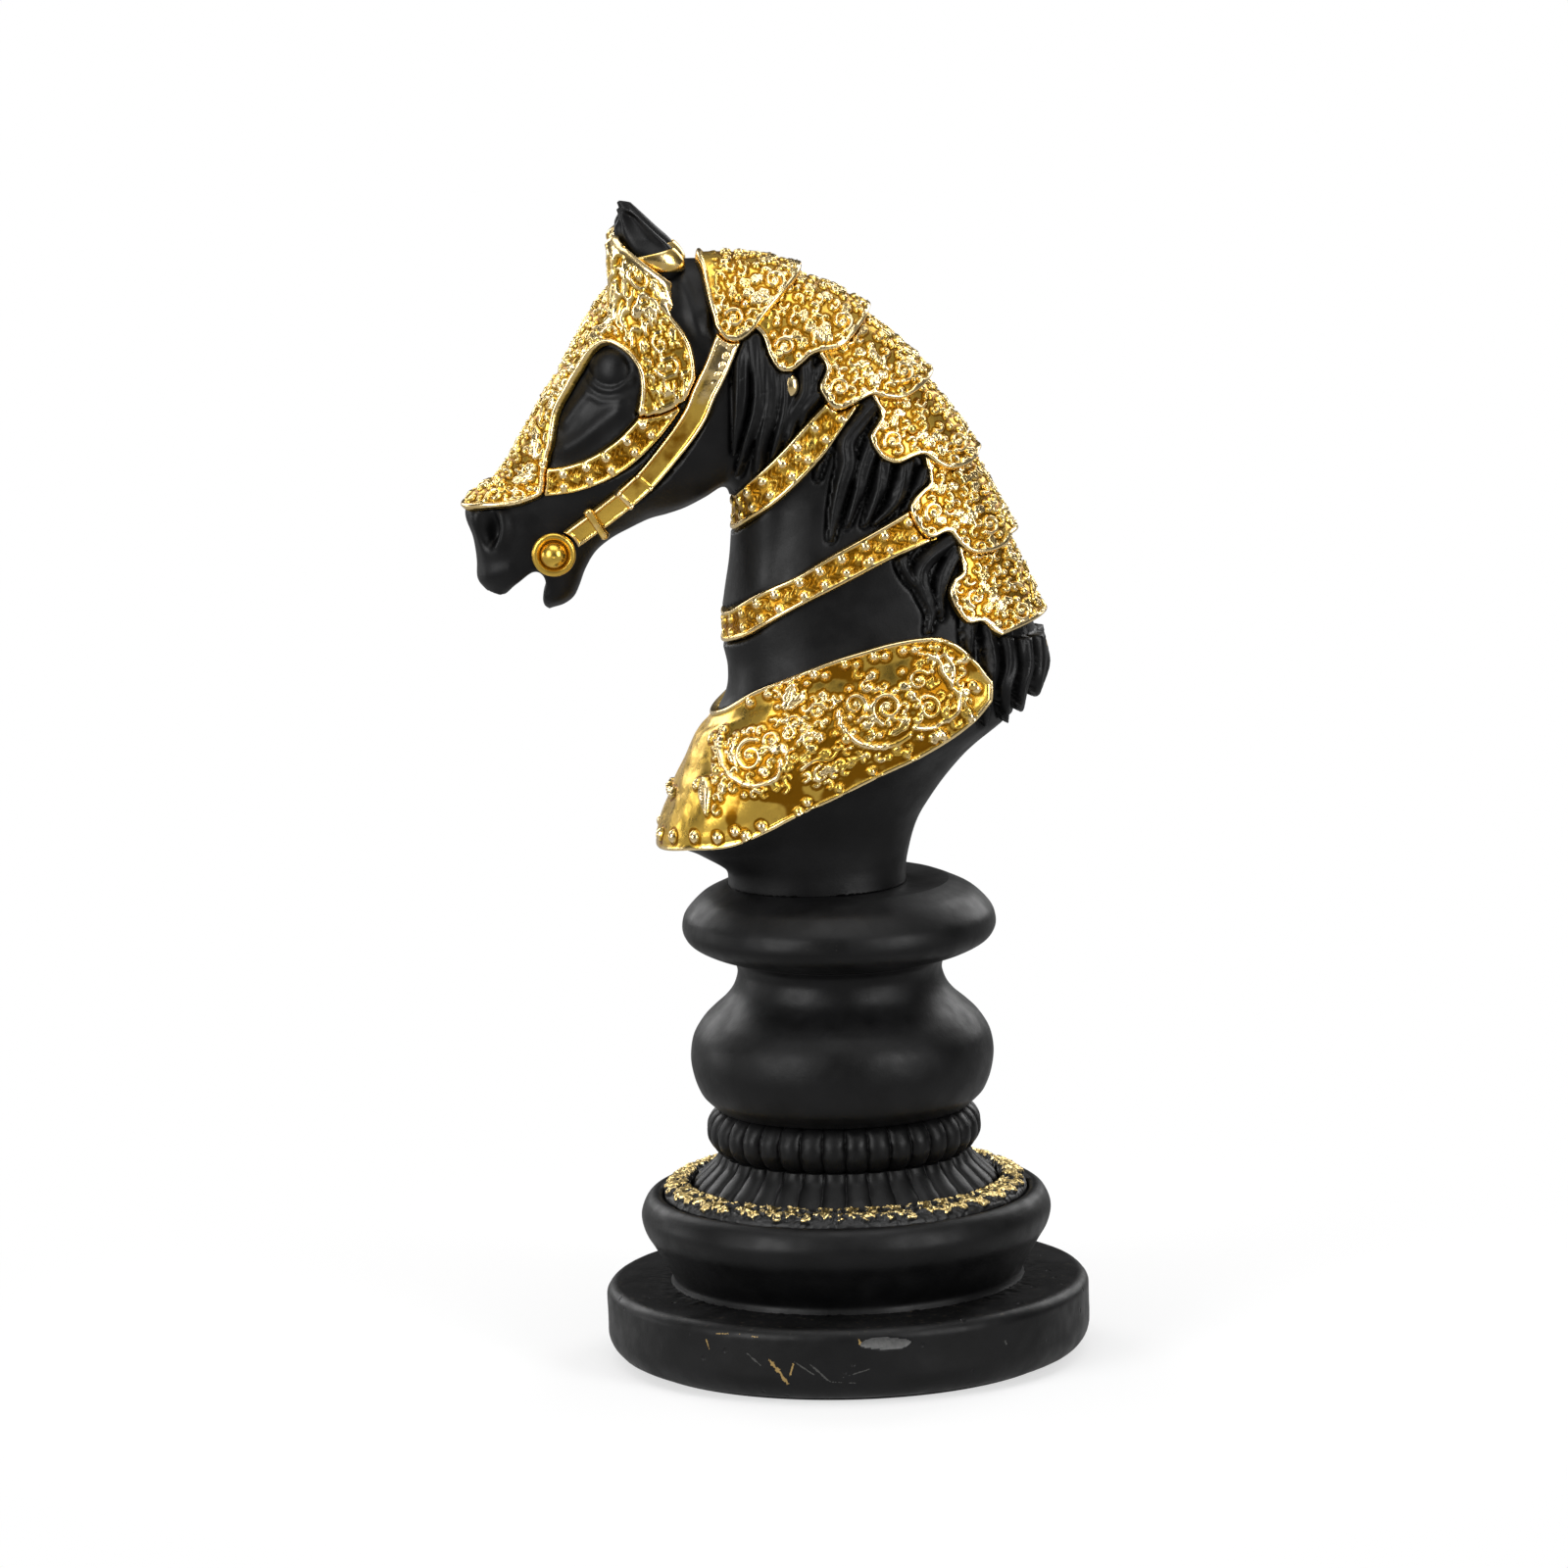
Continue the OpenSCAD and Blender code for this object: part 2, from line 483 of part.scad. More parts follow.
// Edges of the neck bands and the breast plate: [turn from the front, lower rib, upper rib].
band_upper_edges = [[0, 11.6, 12.85], [20, 11.62, 12.78], [40, 11.62, 12.68], [60, 11.6, 12.6],
                    [75, 11.66, 12.56], [88, 11.76, 12.5], [102, 11.96, 12.4]];
band_lower_edges = [[0, 8.69, 9.58], [20, 8.74, 9.6], [40, 8.8, 9.72], [55, 8.92, 9.8], [70, 9.04, 9.8],
                    [85, 9.1, 9.8], [100, 9.14, 9.76], [112, 9.14, 9.72]];
peytral_edges = [[0, 2.85, 6.55], [20, 2.86, 6.75], [40, 2.84, 7.2], [60, 2.7, 7.42], [77, 2.92, 7.5],
                 [90, 3.34, 7.44], [101, 3.74, 7.3], [112, 3.98, 7.06], [119, 4.26, 6.66], [126, 4.66, 6.06],
                 [131, 5, 5.6]];

module girdle(edges, rows, holes, extra = 0) {
    reach = edges[len(edges) - 1][0];
    ts = steps(-reach, reach, 8);
    function edge(u, column) = lookup(abs(u), [for (e = edges) [e[0], e[column]]]);
    function patch(gap) = [for (i = [0 : rows]) [for (u = ts)
        over_skin(mix(edge(u, 1), edge(u, 2), i / rows), 180 + u, gap)]];
    color(gold) difference() {
        sheet(patch(low + extra), patch(high + extra));
        shanks(holes, 0.05);
    }
}

module neck_band_upper() girdle(band_upper_edges, 2, band_rivet_at);
module neck_band_lower() girdle(band_lower_edges, 2, band_rivet_at);
module peytral() girdle(peytral_edges, 8, peytral_rivet_at, 0.25);

// ---------------------------------------------------------------- rivets: [rib, turn, plate lift]

chanfron_rivet_at = [[16.3, 78, 0], [16.3, -78, 0], [22.4, 30, 0], [22.4, -30, 0]];
crinet_rivet_at = [for (k = [0 : 5], side = [-1, 1])
    let (s = [14.6, 13.4, 12.35, 11.2, 9.6, 7.75][k], t = side * 47) [s, t, lame_rise(k, s, t)]];
band_rivet_at = [for (side = [-1, 1], p = [[12.16, 98], [9.34, 86]]) [p[0], side * p[1], 0]];
peytral_rivet_at = [for (side = [-1, 1], p = [[5.6, 58], [5.2, 95], [5.0, 140]])
    [p[0], side * p[1], 0.25]];

module shanks(at, grow) for (p = at) on_skin(p[0], p[1], -rivet_depth)
    cylinder(r = rivet_d / 2 + grow, h = rivet_depth + 4);

module rivet_shanks(grow) {
    shanks(chanfron_rivet_at, grow);
    shanks(crinet_rivet_at, grow);
    shanks(band_rivet_at, grow);
    shanks(peytral_rivet_at, grow);
}

// Rivets with domed heads that sit on the plates.
module rivets(at) color(gold) for (p = at) on_skin(p[0], p[1], 0) rotate_extrude() {
    seat = high + p[2] + 0.12;
    dome_h = 0.8;
    polygon(concat([[0, -rivet_depth + 0.2], [rivet_d / 2, -rivet_depth + 0.2], [rivet_d / 2, seat]],
                   [for (a = [0 : 15 : 90]) [rivet_head_d / 2 * cos(a), seat + dome_h * sin(a)]]));
}

module stud(s, turn) color(gold) on_skin(s, turn, 0.05) rotate_extrude()
    polygon([for (a = [0 : 15 : 90]) [1.1 * cos(a), 0.8 * sin(a)], [0, 0]]);

mane_stud = [13.2, 82];
crest_stud_at = [5.75, 0];

foot_pad();
plinth();
ballast_disc();
base_drum();
leaf_ring();
fluted_skirt();
bead_ring();
baluster();
collar();
tie_rod();
rod_nut();
rod_washer();
bust_insert();
locating_pins();
bust();
mirror([0, 1, 0]) ear();  // ear_left
ear();  // ear_right
mirror([0, 1, 0]) ear_band();  // ear_band_left
ear_band();  // ear_band_right
chanfron();
mirror([0, 1, 0]) eye_strap();  // eye_strap_left
eye_strap();  // eye_strap_right
mirror([0, 1, 0]) cheek_strap();  // cheek_strap_left
cheek_strap();  // cheek_strap_right
mirror([0, 1, 0]) strap_buckle();  // strap_buckle_left
strap_buckle();  // strap_buckle_right
mirror([0, 1, 0]) bit_boss();  // bit_boss_left
bit_boss();  // bit_boss_right
mouth_bar();
crinet_lame(0);  // crinet_lame_1
crinet_lame(1);  // crinet_lame_2
crinet_lame(2);  // crinet_lame_3
crinet_lame(3);  // crinet_lame_4
crinet_lame(4);  // crinet_lame_5
crinet_lame(5);  // crinet_lame_6
neck_band_upper();
neck_band_lower();
peytral();
rivets(chanfron_rivet_at);  // chanfron_rivets
rivets(crinet_rivet_at);  // crinet_rivets
rivets(band_rivet_at);  // band_rivets
rivets(peytral_rivet_at);  // peytral_rivets
stud(mane_stud[0], -mane_stud[1]);  // mane_stud_left
stud(mane_stud[0], mane_stud[1]);  // mane_stud_right
stud(crest_stud_at[0], crest_stud_at[1]);  // crest_stud
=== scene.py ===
"""Looks of the ornamental chess knight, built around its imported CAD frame.

Shapes are worked out in millimetres, and add_mesh turns them into metres. A side-view place is [x, z].
A place on the bust's skin is [s, turn]: s counts ribs from the foot to the lips, turn is 0 at the crest
and 180 at the throat.
"""

import math

import bpy
import numpy as np
from mathutils import Matrix, Vector, kdtree


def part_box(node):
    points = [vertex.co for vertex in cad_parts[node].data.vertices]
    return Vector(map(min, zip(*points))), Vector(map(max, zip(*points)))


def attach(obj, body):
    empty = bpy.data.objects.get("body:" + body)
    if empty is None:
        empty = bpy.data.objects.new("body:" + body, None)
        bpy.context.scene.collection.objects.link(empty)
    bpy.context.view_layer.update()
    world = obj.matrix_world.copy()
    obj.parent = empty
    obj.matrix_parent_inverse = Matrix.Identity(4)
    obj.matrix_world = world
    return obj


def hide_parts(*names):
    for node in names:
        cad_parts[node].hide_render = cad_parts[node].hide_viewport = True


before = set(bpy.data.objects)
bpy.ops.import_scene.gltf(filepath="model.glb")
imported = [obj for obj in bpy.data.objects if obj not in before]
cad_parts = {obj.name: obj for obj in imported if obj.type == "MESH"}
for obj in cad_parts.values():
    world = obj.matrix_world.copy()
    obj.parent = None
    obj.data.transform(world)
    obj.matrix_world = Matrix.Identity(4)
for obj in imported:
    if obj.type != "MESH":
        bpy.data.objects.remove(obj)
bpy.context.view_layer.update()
MM = 0.001
TURN = 2 * math.pi
SIDES = {"left": -1.0, "right": 1.0}


def finer(full):
    return full


# ---------------------------------------------------------------- numbers and curves

def mix(a, b, t):
    return a + (b - a) * t


def smooth(x, low, high):
    """0 below low, 1 above high, with an even slope at both ends."""
    t = np.clip((np.asarray(x, float) - low) / (high - low), 0.0, 1.0)
    return t * t * (3.0 - 2.0 * t)


def dome(d, radius):
    """Height of a round bead of unit height at distance d from its middle."""
    return np.sqrt(np.clip(1.0 - (np.asarray(d, float) / radius) ** 2, 0.0, 1.0))


def unit(v):
    """Vectors brought to length 1."""
    return v / np.maximum(np.linalg.norm(v, axis=-1, keepdims=True), 1e-9)


def circle(n):
    return np.arange(n) / n * TURN


def rows_and_columns(a, b):
    return np.meshgrid(a, b, indexing="ij")


def polar(r, a, z):
    return np.stack([r * np.cos(a), r * np.sin(a), z], -1)


def lengths(line):
    """Length along a polyline up to each of its points."""
    return np.concatenate([[0], np.cumsum(np.linalg.norm(np.diff(line, axis=0), axis=1))])


def spline(points, s):
    """Catmull-Rom curve through rows of numbers, at s from 0 to the last index."""
    p = np.asarray(points, float)
    s = np.asarray(s, float)
    n = len(p) - 1
    i = np.clip(np.floor(s).astype(int), 0, n - 1)
    t = (s - i)[..., None]
    a, b, c, d = p[np.maximum(i - 1, 0)], p[i], p[i + 1], p[np.minimum(i + 2, n)]
    square, cube = 2 * a - 5 * b + 4 * c - d, 3 * b - a - 3 * c + d
    return 0.5 * (2 * b + (c - a) * t + square * t ** 2 + cube * t ** 3)


def smooth_line(points, per=8):
    n = len(points) - 1
    return spline(points, np.linspace(0, n, n * per + 1))


def closed_line(points, per=8):
    n = len(points)
    return spline([points[-1], *points, points[0], points[1]], np.arange(n * per) / per + 1.0)


def table(x, rows, column):
    """Smooth value of one column of a table whose first column is x."""
    rows = np.asarray(rows, float)
    i = np.interp(x, rows[:, 0], np.arange(len(rows)))
    return spline(rows[:, column:column + 1], i)[..., 0]


def value_noise(p, scale, seed=0):
    """Smooth noise from 0 to 1 in space, the same on every run."""
    q = np.asarray(p, float) / scale
    cell = np.floor(q).astype(np.int64)
    f = q - cell
    f = f * f * (3 - 2 * f)
    total = np.zeros(q.shape[:-1])
    for corner in np.ndindex(2, 2, 2):
        c = cell + np.array(corner)
        h = c[..., 0] * 374761393 + c[..., 1] * 668265263 + c[..., 2] * 362437 + seed * 974634777
        h = h & 0xFFFFFFFF
        h = ((h ^ (h >> 13)) * 1274126177) & 0xFFFFFFFF
        h = ((h ^ (h >> 16)) & 0xFFFF) / 65535.0
        total += h * np.prod(np.where(np.array(corner) == 1, f, 1 - f), axis=-1)
    return total


def tree_of(points):
    tree = kdtree.KDTree(len(points))
    for i, p in enumerate(points):
        tree.insert(p, i)
    tree.balance()
    return tree


def nearest(points, targets):
    """Distance from each point to its nearest target, and that target's index."""
    tree = tree_of(targets)
    found = [tree.find(p) for p in points]
    return np.array([f[2] for f in found]), np.array([f[1] for f in found])


def in_space(xz):
    """Side-view places as points in space."""
    return np.insert(np.asarray(xz, float), 1, 0.0, axis=1)


def resample(line, step):
    """Points every step along a polyline, and the length up to each."""
    line = np.asarray(line, float)
    length = lengths(line)
    at = np.linspace(0, length[-1], max(2, int(length[-1] / step) + 1))
    return np.stack([np.interp(at, length, column) for column in line.T], -1), at


def inside(xz, outline):
    x, z = xz[:, 0], xz[:, 1]
    result = np.zeros(len(xz), bool)
    for (x0, z0), (x1, z1) in zip(outline, np.roll(outline, -1, 0)):
        if z0 != z1:
            result ^= ((z0 > z) != (z1 > z)) & (x < (x1 - x0) * (z - z0) / (z1 - z0) + x0)
    return result


def outline_depth(xz, points):
    """How far side-view places are inside the smooth closed outline through some points; negative outside."""
    outline = closed_line(points)
    ring, _ = resample(np.vstack([outline, outline[:1]]), 0.15)
    d, _ = nearest(in_space(xz), in_space(ring))
    return np.where(inside(xz, outline), d, -d)


def line_field(xz, line):
    """Each place against a smooth side-view line.

    Gives the length along to the nearest point, how far past it and across, the distance, and the length.
    """
    points, at = resample(smooth_line(line), 0.3)
    d, i = nearest(in_space(xz), in_space(points))
    way = unit(np.gradient(points, axis=0))[i]
    off = xz - points[i]
    across = way[:, 0] * off[:, 1] - way[:, 1] * off[:, 0]
    return at[i], (off * way).sum(1), across, d, at[-1]


# ---------------------------------------------------------------- the bust's skin

# Ribs from the foot to the lips: crest x, crest z, throat x, throat z, half width.
RIBS = np.array([
    [14.5, 103.0, -23.4, 103.0, 18.5], [15.0, 108.5, -24.2, 106.8, 18.3],
    [18.5, 118.5, -30.0, 110.2, 19.5], [27.5, 130.0, -36.8, 114.0, 22.0],
    [38.0, 139.0, -34.8, 121.0, 24.0], [44.0, 146.5, -31.5, 128.5, 24.5],
    [43.5, 155.0, -27.6, 136.5, 23.0], [41.0, 163.5, -23.2, 143.5, 21.3],
    [38.2, 172.0, -22.3, 150.0, 20.0], [34.5, 182.0, -23.6, 158.0, 19.0],
    [30.0, 192.5, -22.6, 166.0, 17.8], [24.5, 203.0, -21.2, 174.5, 16.8],
    [16.5, 214.5, -20.8, 182.5, 15.8], [5.0, 226.0, -21.0, 187.5, 15.0],
    [-9.0, 233.8, -22.5, 188.8, 14.2], [-22.0, 237.0, -26.0, 186.6, 13.8],
    [-33.5, 236.8, -30.0, 184.6, 14.0], [-42.5, 232.4, -34.0, 183.4, 14.5],
    [-48.5, 225.0, -38.0, 182.4, 14.5], [-53.3, 216.5, -42.0, 180.6, 13.2],
    [-58.0, 209.0, -46.0, 178.4, 11.4], [-62.5, 201.5, -49.5, 175.6, 9.8],
    [-67.0, 194.0, -51.8, 172.0, 8.8], [-72.0, 188.0, -53.2, 168.5, 8.6],
    [-75.0, 182.0, -54.5, 166.0, 8.2], [-74.8, 175.5, -56.5, 164.5, 7.4],
    [-72.8, 169.2, -58.8, 163.8, 5.5]])
RIB_LAST = len(RIBS) - 1
SQUARENESS = 2.3
CREST_TAPER = 0.16


def skin(s, turn):
    """Point on the bust's skin."""
    r = spline(RIBS, s)
    a = np.radians(turn)
    c, w = (np.sign(v) * np.abs(v) ** (2 / SQUARENESS) for v in (np.cos(a), np.sin(a)))
    taper = 1 - CREST_TAPER * c * np.clip((18 - s) / 6, 0, 1) * np.clip(s / 3, 0, 1)
    x = (r[..., 0] + r[..., 2]) / 2 + (r[..., 0] - r[..., 2]) / 2 * c
    z = (r[..., 1] + r[..., 3]) / 2 + (r[..., 1] - r[..., 3]) / 2 * c
    return np.stack([x, r[..., 4] * w * taper, z], -1)


def skin_normal(s, turn):
    s0, s1 = np.clip(s - 0.05, 0, RIB_LAST), np.clip(s + 0.05, 0, RIB_LAST)
    return unit(np.cross(skin(s, turn + 1.5) - skin(s, turn - 1.5), skin(s1, turn) - skin(s0, turn)))


def skin_at(s, turn):
    """Point and normal at one place on the skin."""
    s, turn = np.array(float(s)), np.array(float(turn))
    return skin(s, turn), skin_normal(s, turn)


LATTICE_S, LATTICE_T = (g.ravel() for g in rows_and_columns(np.linspace(0, RIB_LAST, 1000),
                                                            np.linspace(0, 180, 200)))
LATTICE = skin(LATTICE_S, LATTICE_T)
LATTICE_N = skin_normal(LATTICE_S, LATTICE_T)
SKIN_TREE, SIDE_TREE = tree_of(LATTICE), tree_of(LATTICE * np.array([1, 0, 1]))


def seat(places):
    """Points and normals of the skin under side-view places, on the horse's right."""
    i = np.array([SIDE_TREE.find((x, 0, z))[1] for x, z in np.atleast_2d(places)])
    return LATTICE[i], LATTICE_N[i]


def settle(points):
    """Points moved on to the skin."""
    i = np.array([SKIN_TREE.find(p)[1] for p in points])
    return points - LATTICE_N[i] * ((points - LATTICE[i]) * LATTICE_N[i]).sum(1)[:, None]


# ---------------------------------------------------------------- meshes

def read(items, attribute, kind=np.float32):
    """Rows of three numbers from a mesh's vertices or triangles."""
    values = np.zeros(len(items) * 3, kind)
    items.foreach_get(attribute, values)
    return values.reshape(-1, 3)


def volume(mesh):
    """Signed volume of a closed mesh; negative when its faces look inwards."""
    mesh.calc_loop_triangles()
    corners = read(mesh.loop_triangles, "vertices", np.int32)
    a, b, c = read(mesh.vertices, "co")[corners].astype(float).transpose(1, 0, 2)
    return float((a * np.cross(b, c)).sum()) / 6


def add_mesh(name, verts, faces, material, slot=None, relief=None):
    """Smooth mesh from points in millimetres. With a slot it is a piece that takes its CAD node's place."""
    mesh = bpy.data.meshes.new(name)
    mesh.from_pydata([tuple(v) for v in np.asarray(verts) * MM], [],
                     [tuple(int(i) for i in f) for f in faces])
    if relief is not None:
        layer = mesh.attributes.new("relief", "FLOAT", "POINT")
        layer.data.foreach_set("value", np.asarray(relief, np.float32))
    mesh.validate()
    if volume(mesh) < 0:
        mesh.flip_normals()
    mesh.shade_smooth()
    mesh.materials.append(material)
    obj = bpy.data.objects.new(name, mesh)
    bpy.context.scene.collection.objects.link(obj)
    if slot:
        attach(obj, "root")
        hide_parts(name)
    return obj


# For gold parts, relief is a level of painted shade and painted highlight: low values paint the gold dark
# brown, high values pale.
def add_gold(name, verts, faces, relief):
    return add_mesh(name, verts, faces, GOLD, "gold_lacquer", np.broadcast_to(relief, len(verts)))


def tube_faces(rows, columns, wrap=True):
    """Quads between rows of points; wrap joins the last column to the first."""
    i, j = rows_and_columns(np.arange(rows - 1), np.arange(columns if wrap else columns - 1))
    k = (j + 1) % columns
    quads = [i * columns + j, i * columns + k, (i + 1) * columns + k, (i + 1) * columns + j]
    return np.stack(quads, -1).reshape(-1, 4)


def capped_faces(rows, columns):
    """Tube closed by a face at each end."""
    last = (rows - 1) * columns
    return tube_faces(rows, columns).tolist() + [list(range(columns))[::-1],
                                                 list(range(last, last + columns))]


def ring_faces(rows, columns):
    """Tube whose last row joins its first."""
    return tube_faces(rows + 1, columns) % (rows * columns)


def clip(params, tris, field):
    """Cuts a triangle mesh along field = 0 and keeps the part where it is positive."""
    field = np.where(np.abs(field) < 1e-3, 1e-3, field)
    keep = field > 0
    count = keep[tris].sum(1)
    edges, corners = [], []
    for wanted in (1, 2):
        t = tris[count == wanted]
        odd = np.argmax(keep[t] == (wanted == 1), axis=1)
        t = np.stack([t[np.arange(len(t)), (odd + k) % 3] for k in range(3)], 1)
        corners.append(t)
        edges += [t[:, [0, 1]], t[:, [0, 2]]]
    unique, index = np.unique(np.sort(np.vstack(edges), axis=1), axis=0, return_inverse=True)
    a, b = unique[:, 0], unique[:, 1]
    share = (field[a] / (field[a] - field[b]))[:, None]
    cuts = np.split(index.reshape(-1) + len(params), np.cumsum([len(e) for e in edges])[:-1])
    params = np.vstack([params, params[a] * (1 - share) + params[b] * share])
    tip, far = corners[0][:, 0], corners[1]
    tris = np.vstack([tris[count == 3], np.stack([tip, cuts[0], cuts[1]], 1),
                      np.stack([cuts[2], far[:, 1], far[:, 2]], 1), np.stack([cuts[2], far[:, 2], cuts[3]],
                                                                             1)])
    used, tris = np.unique(tris, return_inverse=True)
    return params[used], tris.reshape(-1, 3)


def largest(params, tris):
    """The largest connected piece of a patch."""
    parent = np.arange(tris.max() + 1)

    def root(i):
        while parent[i] != i:
            parent[i] = parent[parent[i]]
            i = parent[i]
        return i

    for a, b, c in tris.tolist():
        parent[root(b)] = root(a)
        parent[root(c)] = root(a)
    roots = np.array([root(i) for i in tris[:, 0]])
    names, count = np.unique(roots, return_counts=True)
    used, tris = np.unique(tris[roots == names[np.argmax(count)]], return_inverse=True)
    return params[used], tris.reshape(-1, 3)


def border(tris):
    """Directed edges that belong to one triangle only."""
    e = np.vstack([tris[:, [0, 1]], tris[:, [1, 2]], tris[:, [2, 0]]])
    _, index, count = np.unique(np.sort(e, axis=1), axis=0, return_inverse=True, return_counts=True)
    return e[count[index.reshape(-1)] == 1]


# ---------------------------------------------------------------- plates over the bust

GAP = 0.3
THICK = 1.1


def spread(low, high, count, focus=None):
    """Even steps from low to high, twice as fine where focus(x) is 1."""
    x = np.linspace(low, high, 400)
    weight = np.cumsum(1.0 + (focus(x) if focus else 0.0 * x))
    return np.interp(np.linspace(weight[0], weight[-1], count), weight, x)


def grid(s_range, t_range, step, focus_s=None, focus_t=None):
    """Skin places and triangles of a patch."""
    size_s = lengths(skin(np.linspace(*s_range, 30), np.full(30, np.mean(t_range))))[-1]
    size_t = lengths(skin(np.full(60, np.mean(s_range)), np.linspace(*t_range, 60)))[-1]
    rows, cols = int(size_s * 1.25 / step) + 2, int(size_t / step) + 2
    s, t = rows_and_columns(spread(*s_range, rows, focus_s), spread(*t_range, cols, focus_t))
    q = tube_faces(rows, cols, wrap=False)
    return np.stack([s.ravel(), t.ravel()], -1), np.vstack([q[:, [0, 1, 2]], q[:, [0, 2, 3]]])


def middle(params, lift=0.0):
    """Points in the middle of a plate laid over some skin places."""
    return skin(*params.T) + skin_normal(*params.T) * (GAP + THICK / 2 + np.reshape(lift, (-1, 1)))


def side_view(points):
    return points[:, [0, 2]]


def one_side(params):
    """Points of a patch on the side that ornament is laid out on."""
    return skin(*params[skin(*params.T)[:, 1] > 0.3].T)


def bent_normals(points, tris, like):
    """Vertex normals of a bent patch, on the same side as the normals before it was bent."""
    a, b, c = points[tris].transpose(1, 0, 2)
    face = np.cross(b - a, c - a)
    face *= np.sign((face * like[tris[:, 0]]).sum(1))[:, None]
    total = np.zeros_like(points)
    for k in range(3):
        np.add.at(total, tris[:, k], face)
    return unit(total)


def shell(name, params, tris, relief, lift=0.0, thick=THICK, ground=0.42, flip=1.0, bend=None):
    """Closed gold plate. relief(points, edge distance) gives raised work and how much painted shade the
    recesses get.
    """
    base, normal = skin(*params.T), skin_normal(*params.T)
    low = np.reshape(GAP + lift, (-1, 1))
    if bend:
        base = base + bend(base)
        normal = bent_normals(base, tris, normal)
    points = base + normal * (low + thick)
    edge = border(tris)
    d, _ = nearest(points, points[np.unique(edge)])
    raised, dark = relief(points, d)
    rounded = np.sqrt(1 - (1 - np.clip(d / 0.5, 0, 1)) ** 2)
    height = thick * mix(0.3, 1.0, rounded) + raised * rounded
    n = len(params)
    faces = tris[:, ::-1].tolist() + (tris + n).tolist() + [[a, b, b + n, a + n] for a, b in edge.tolist()]
    verts = np.vstack([base + normal * (low + height[:, None]), base + normal * low]) * np.array([1, flip, 1])
    # shade: painted highlight on the raised work and painted shade in the recesses, passed to the gold
    # material as relief.
    shade = np.concatenate([np.clip(ground + 0.75 * raised - 0.55 * dark, 0, 1), np.full(n, ground)])
    return add_gold(name, verts, faces, shade)


# ---------------------------------------------------------------- relief: rows of [x, y, z, radius, height]

def bead(u, v, radius, height):
    return np.array([[u, v, radius, height]])


def stroke(points, r0, r1, height, per=7):
    """Rounded ridge along a smooth line, from radius r0 to r1."""
    line, at = resample(smooth_line(points, per), max(min(r0, r1) * 0.35, 0.12))
    k = at / max(at[-1], 1e-6)
    return np.column_stack([line, mix(r0, r1, k), height * (0.75 + 0.25 * (1 - k))])


def scroll(u, v, radius, start, turns, hand, r, height):
    """Spiral ridge that curls in to a bead."""
    k = np.linspace(0, 1, int(14 * turns) + 4)
    a = math.radians(start) + hand * k * turns * TURN
    reach = mix(radius, radius * 0.22, k ** 0.85)
    line = np.stack([u + reach * np.cos(a), v + reach * np.sin(a)], -1)
    return np.vstack([stroke(line, r, r * 0.6, height, 2), bead(u, v, r * 1.15, height * 1.1)])


def leaf(points, width, height, lobes=3):
    """Lobed leaf along a smooth line, with its midrib raised."""
    line, at = resample(smooth_line(points, 6), 0.22)
    k = at / max(at[-1], 1e-6)
    swell = np.sin(math.pi * np.clip(k * 0.92 + 0.08, 0, 1)) ** 0.7 * (1 + 0.22 * np.sin(k * lobes * TURN))
    way = np.gradient(line, axis=0)
    side = np.stack([-way[:, 1], way[:, 0]], -1) / np.maximum(np.linalg.norm(way, axis=1), 1e-6)[:, None]
    w = width * swell
    halves = [np.column_stack([line + side * (w * f)[:, None], np.maximum(w * 0.52, 0.1),
                               np.full(len(k), height)])
              for f in (-0.5, 0.5)]
    return np.vstack(halves + [stroke(points, width * 0.22, width * 0.1, height * 1.35)])


def lay(place, *parts):
    """Seats flat work, [u back, v up, radius, height], on the skin about a side-view place."""
    flat = np.vstack(parts)
    (p,), (n,) = seat(place)
    u = unit(np.array([1.0, 0, 0]) - n * n[0])
    v = np.cross(u, n)
    v *= 1 if v[2] > 0 else -1
    return np.column_stack([settle(p + flat[:, :1] * u + flat[:, 1:2] * v), flat[:, 2:]])


def run(places, r0, r1, height):
    """Rounded ridge through side-view places."""
    line, at = resample(seat(smooth_line(places))[0], 0.16)
    k = at / at[-1]
    return np.column_stack([line, mix(r0, r1, k), height * (1 - 0.25 * k)])


def spaced(points, bent, pitch, rng, avoid, reach):
    """A random choice of points at least a pitch apart, clear of other work but within reach of it."""
    kept, places = np.zeros((0, 3)), []
    for i in rng.permutation(len(points)):
        p = bent[i]
        if len(kept) and np.min(((kept - p) ** 2).sum(1)) < pitch ** 2:
            continue
        apart = (np.linalg.norm(avoid[:, :3] - p, axis=1) - avoid[:, 3]).min()
        if apart < 0.3 * pitch or (reach and apart > reach):
            continue
        kept = np.vstack([kept, p])
        places.append(points[i])
    return places


def fill(points, pitch, seed, size, height, avoid, reach=None, bend=None):
    """Close-set commas, small leaves and beads over a patch of points."""
    rng = np.random.default_rng(seed)
    places = spaced(points, points + bend(points) if bend else points, pitch, rng, avoid, reach)
    out, r = [], 0.58 * pitch * size
    for p in places:
        kind, a, h = rng.integers(7), rng.uniform(0, TURN), height * rng.uniform(0.75, 1.15)
        c, w = math.cos(a), math.sin(a)
        if kind == 0:
            work = bead(0, 0, r * 0.72, h)
        elif kind < 3:
            work = leaf([(-c * r, -w * r), (-0.3 * w * r, 0.3 * c * r), (c * r, w * r)], r * 0.9, h * 0.9, 2)
        else:
            k = a + np.linspace(0, 3.9, 6) * (1 if kind < 5 else -1)
            curl = (r * np.linspace(1.05, 0.3, 6))[:, None] * np.stack([np.cos(k), np.sin(k)], -1)
            work = stroke(curl, r * 0.46, r * 0.36, h, 2)
        out.append(lay(p[[0, 2]], work))
    return moved(np.vstack(out), bend)


def moved(domes, bend):
    """Domes carried along by a bend of the surface they stand on."""
    return np.column_stack([domes[:, :3] + bend(domes[:, :3]), domes[:, 3:]]) if bend else domes


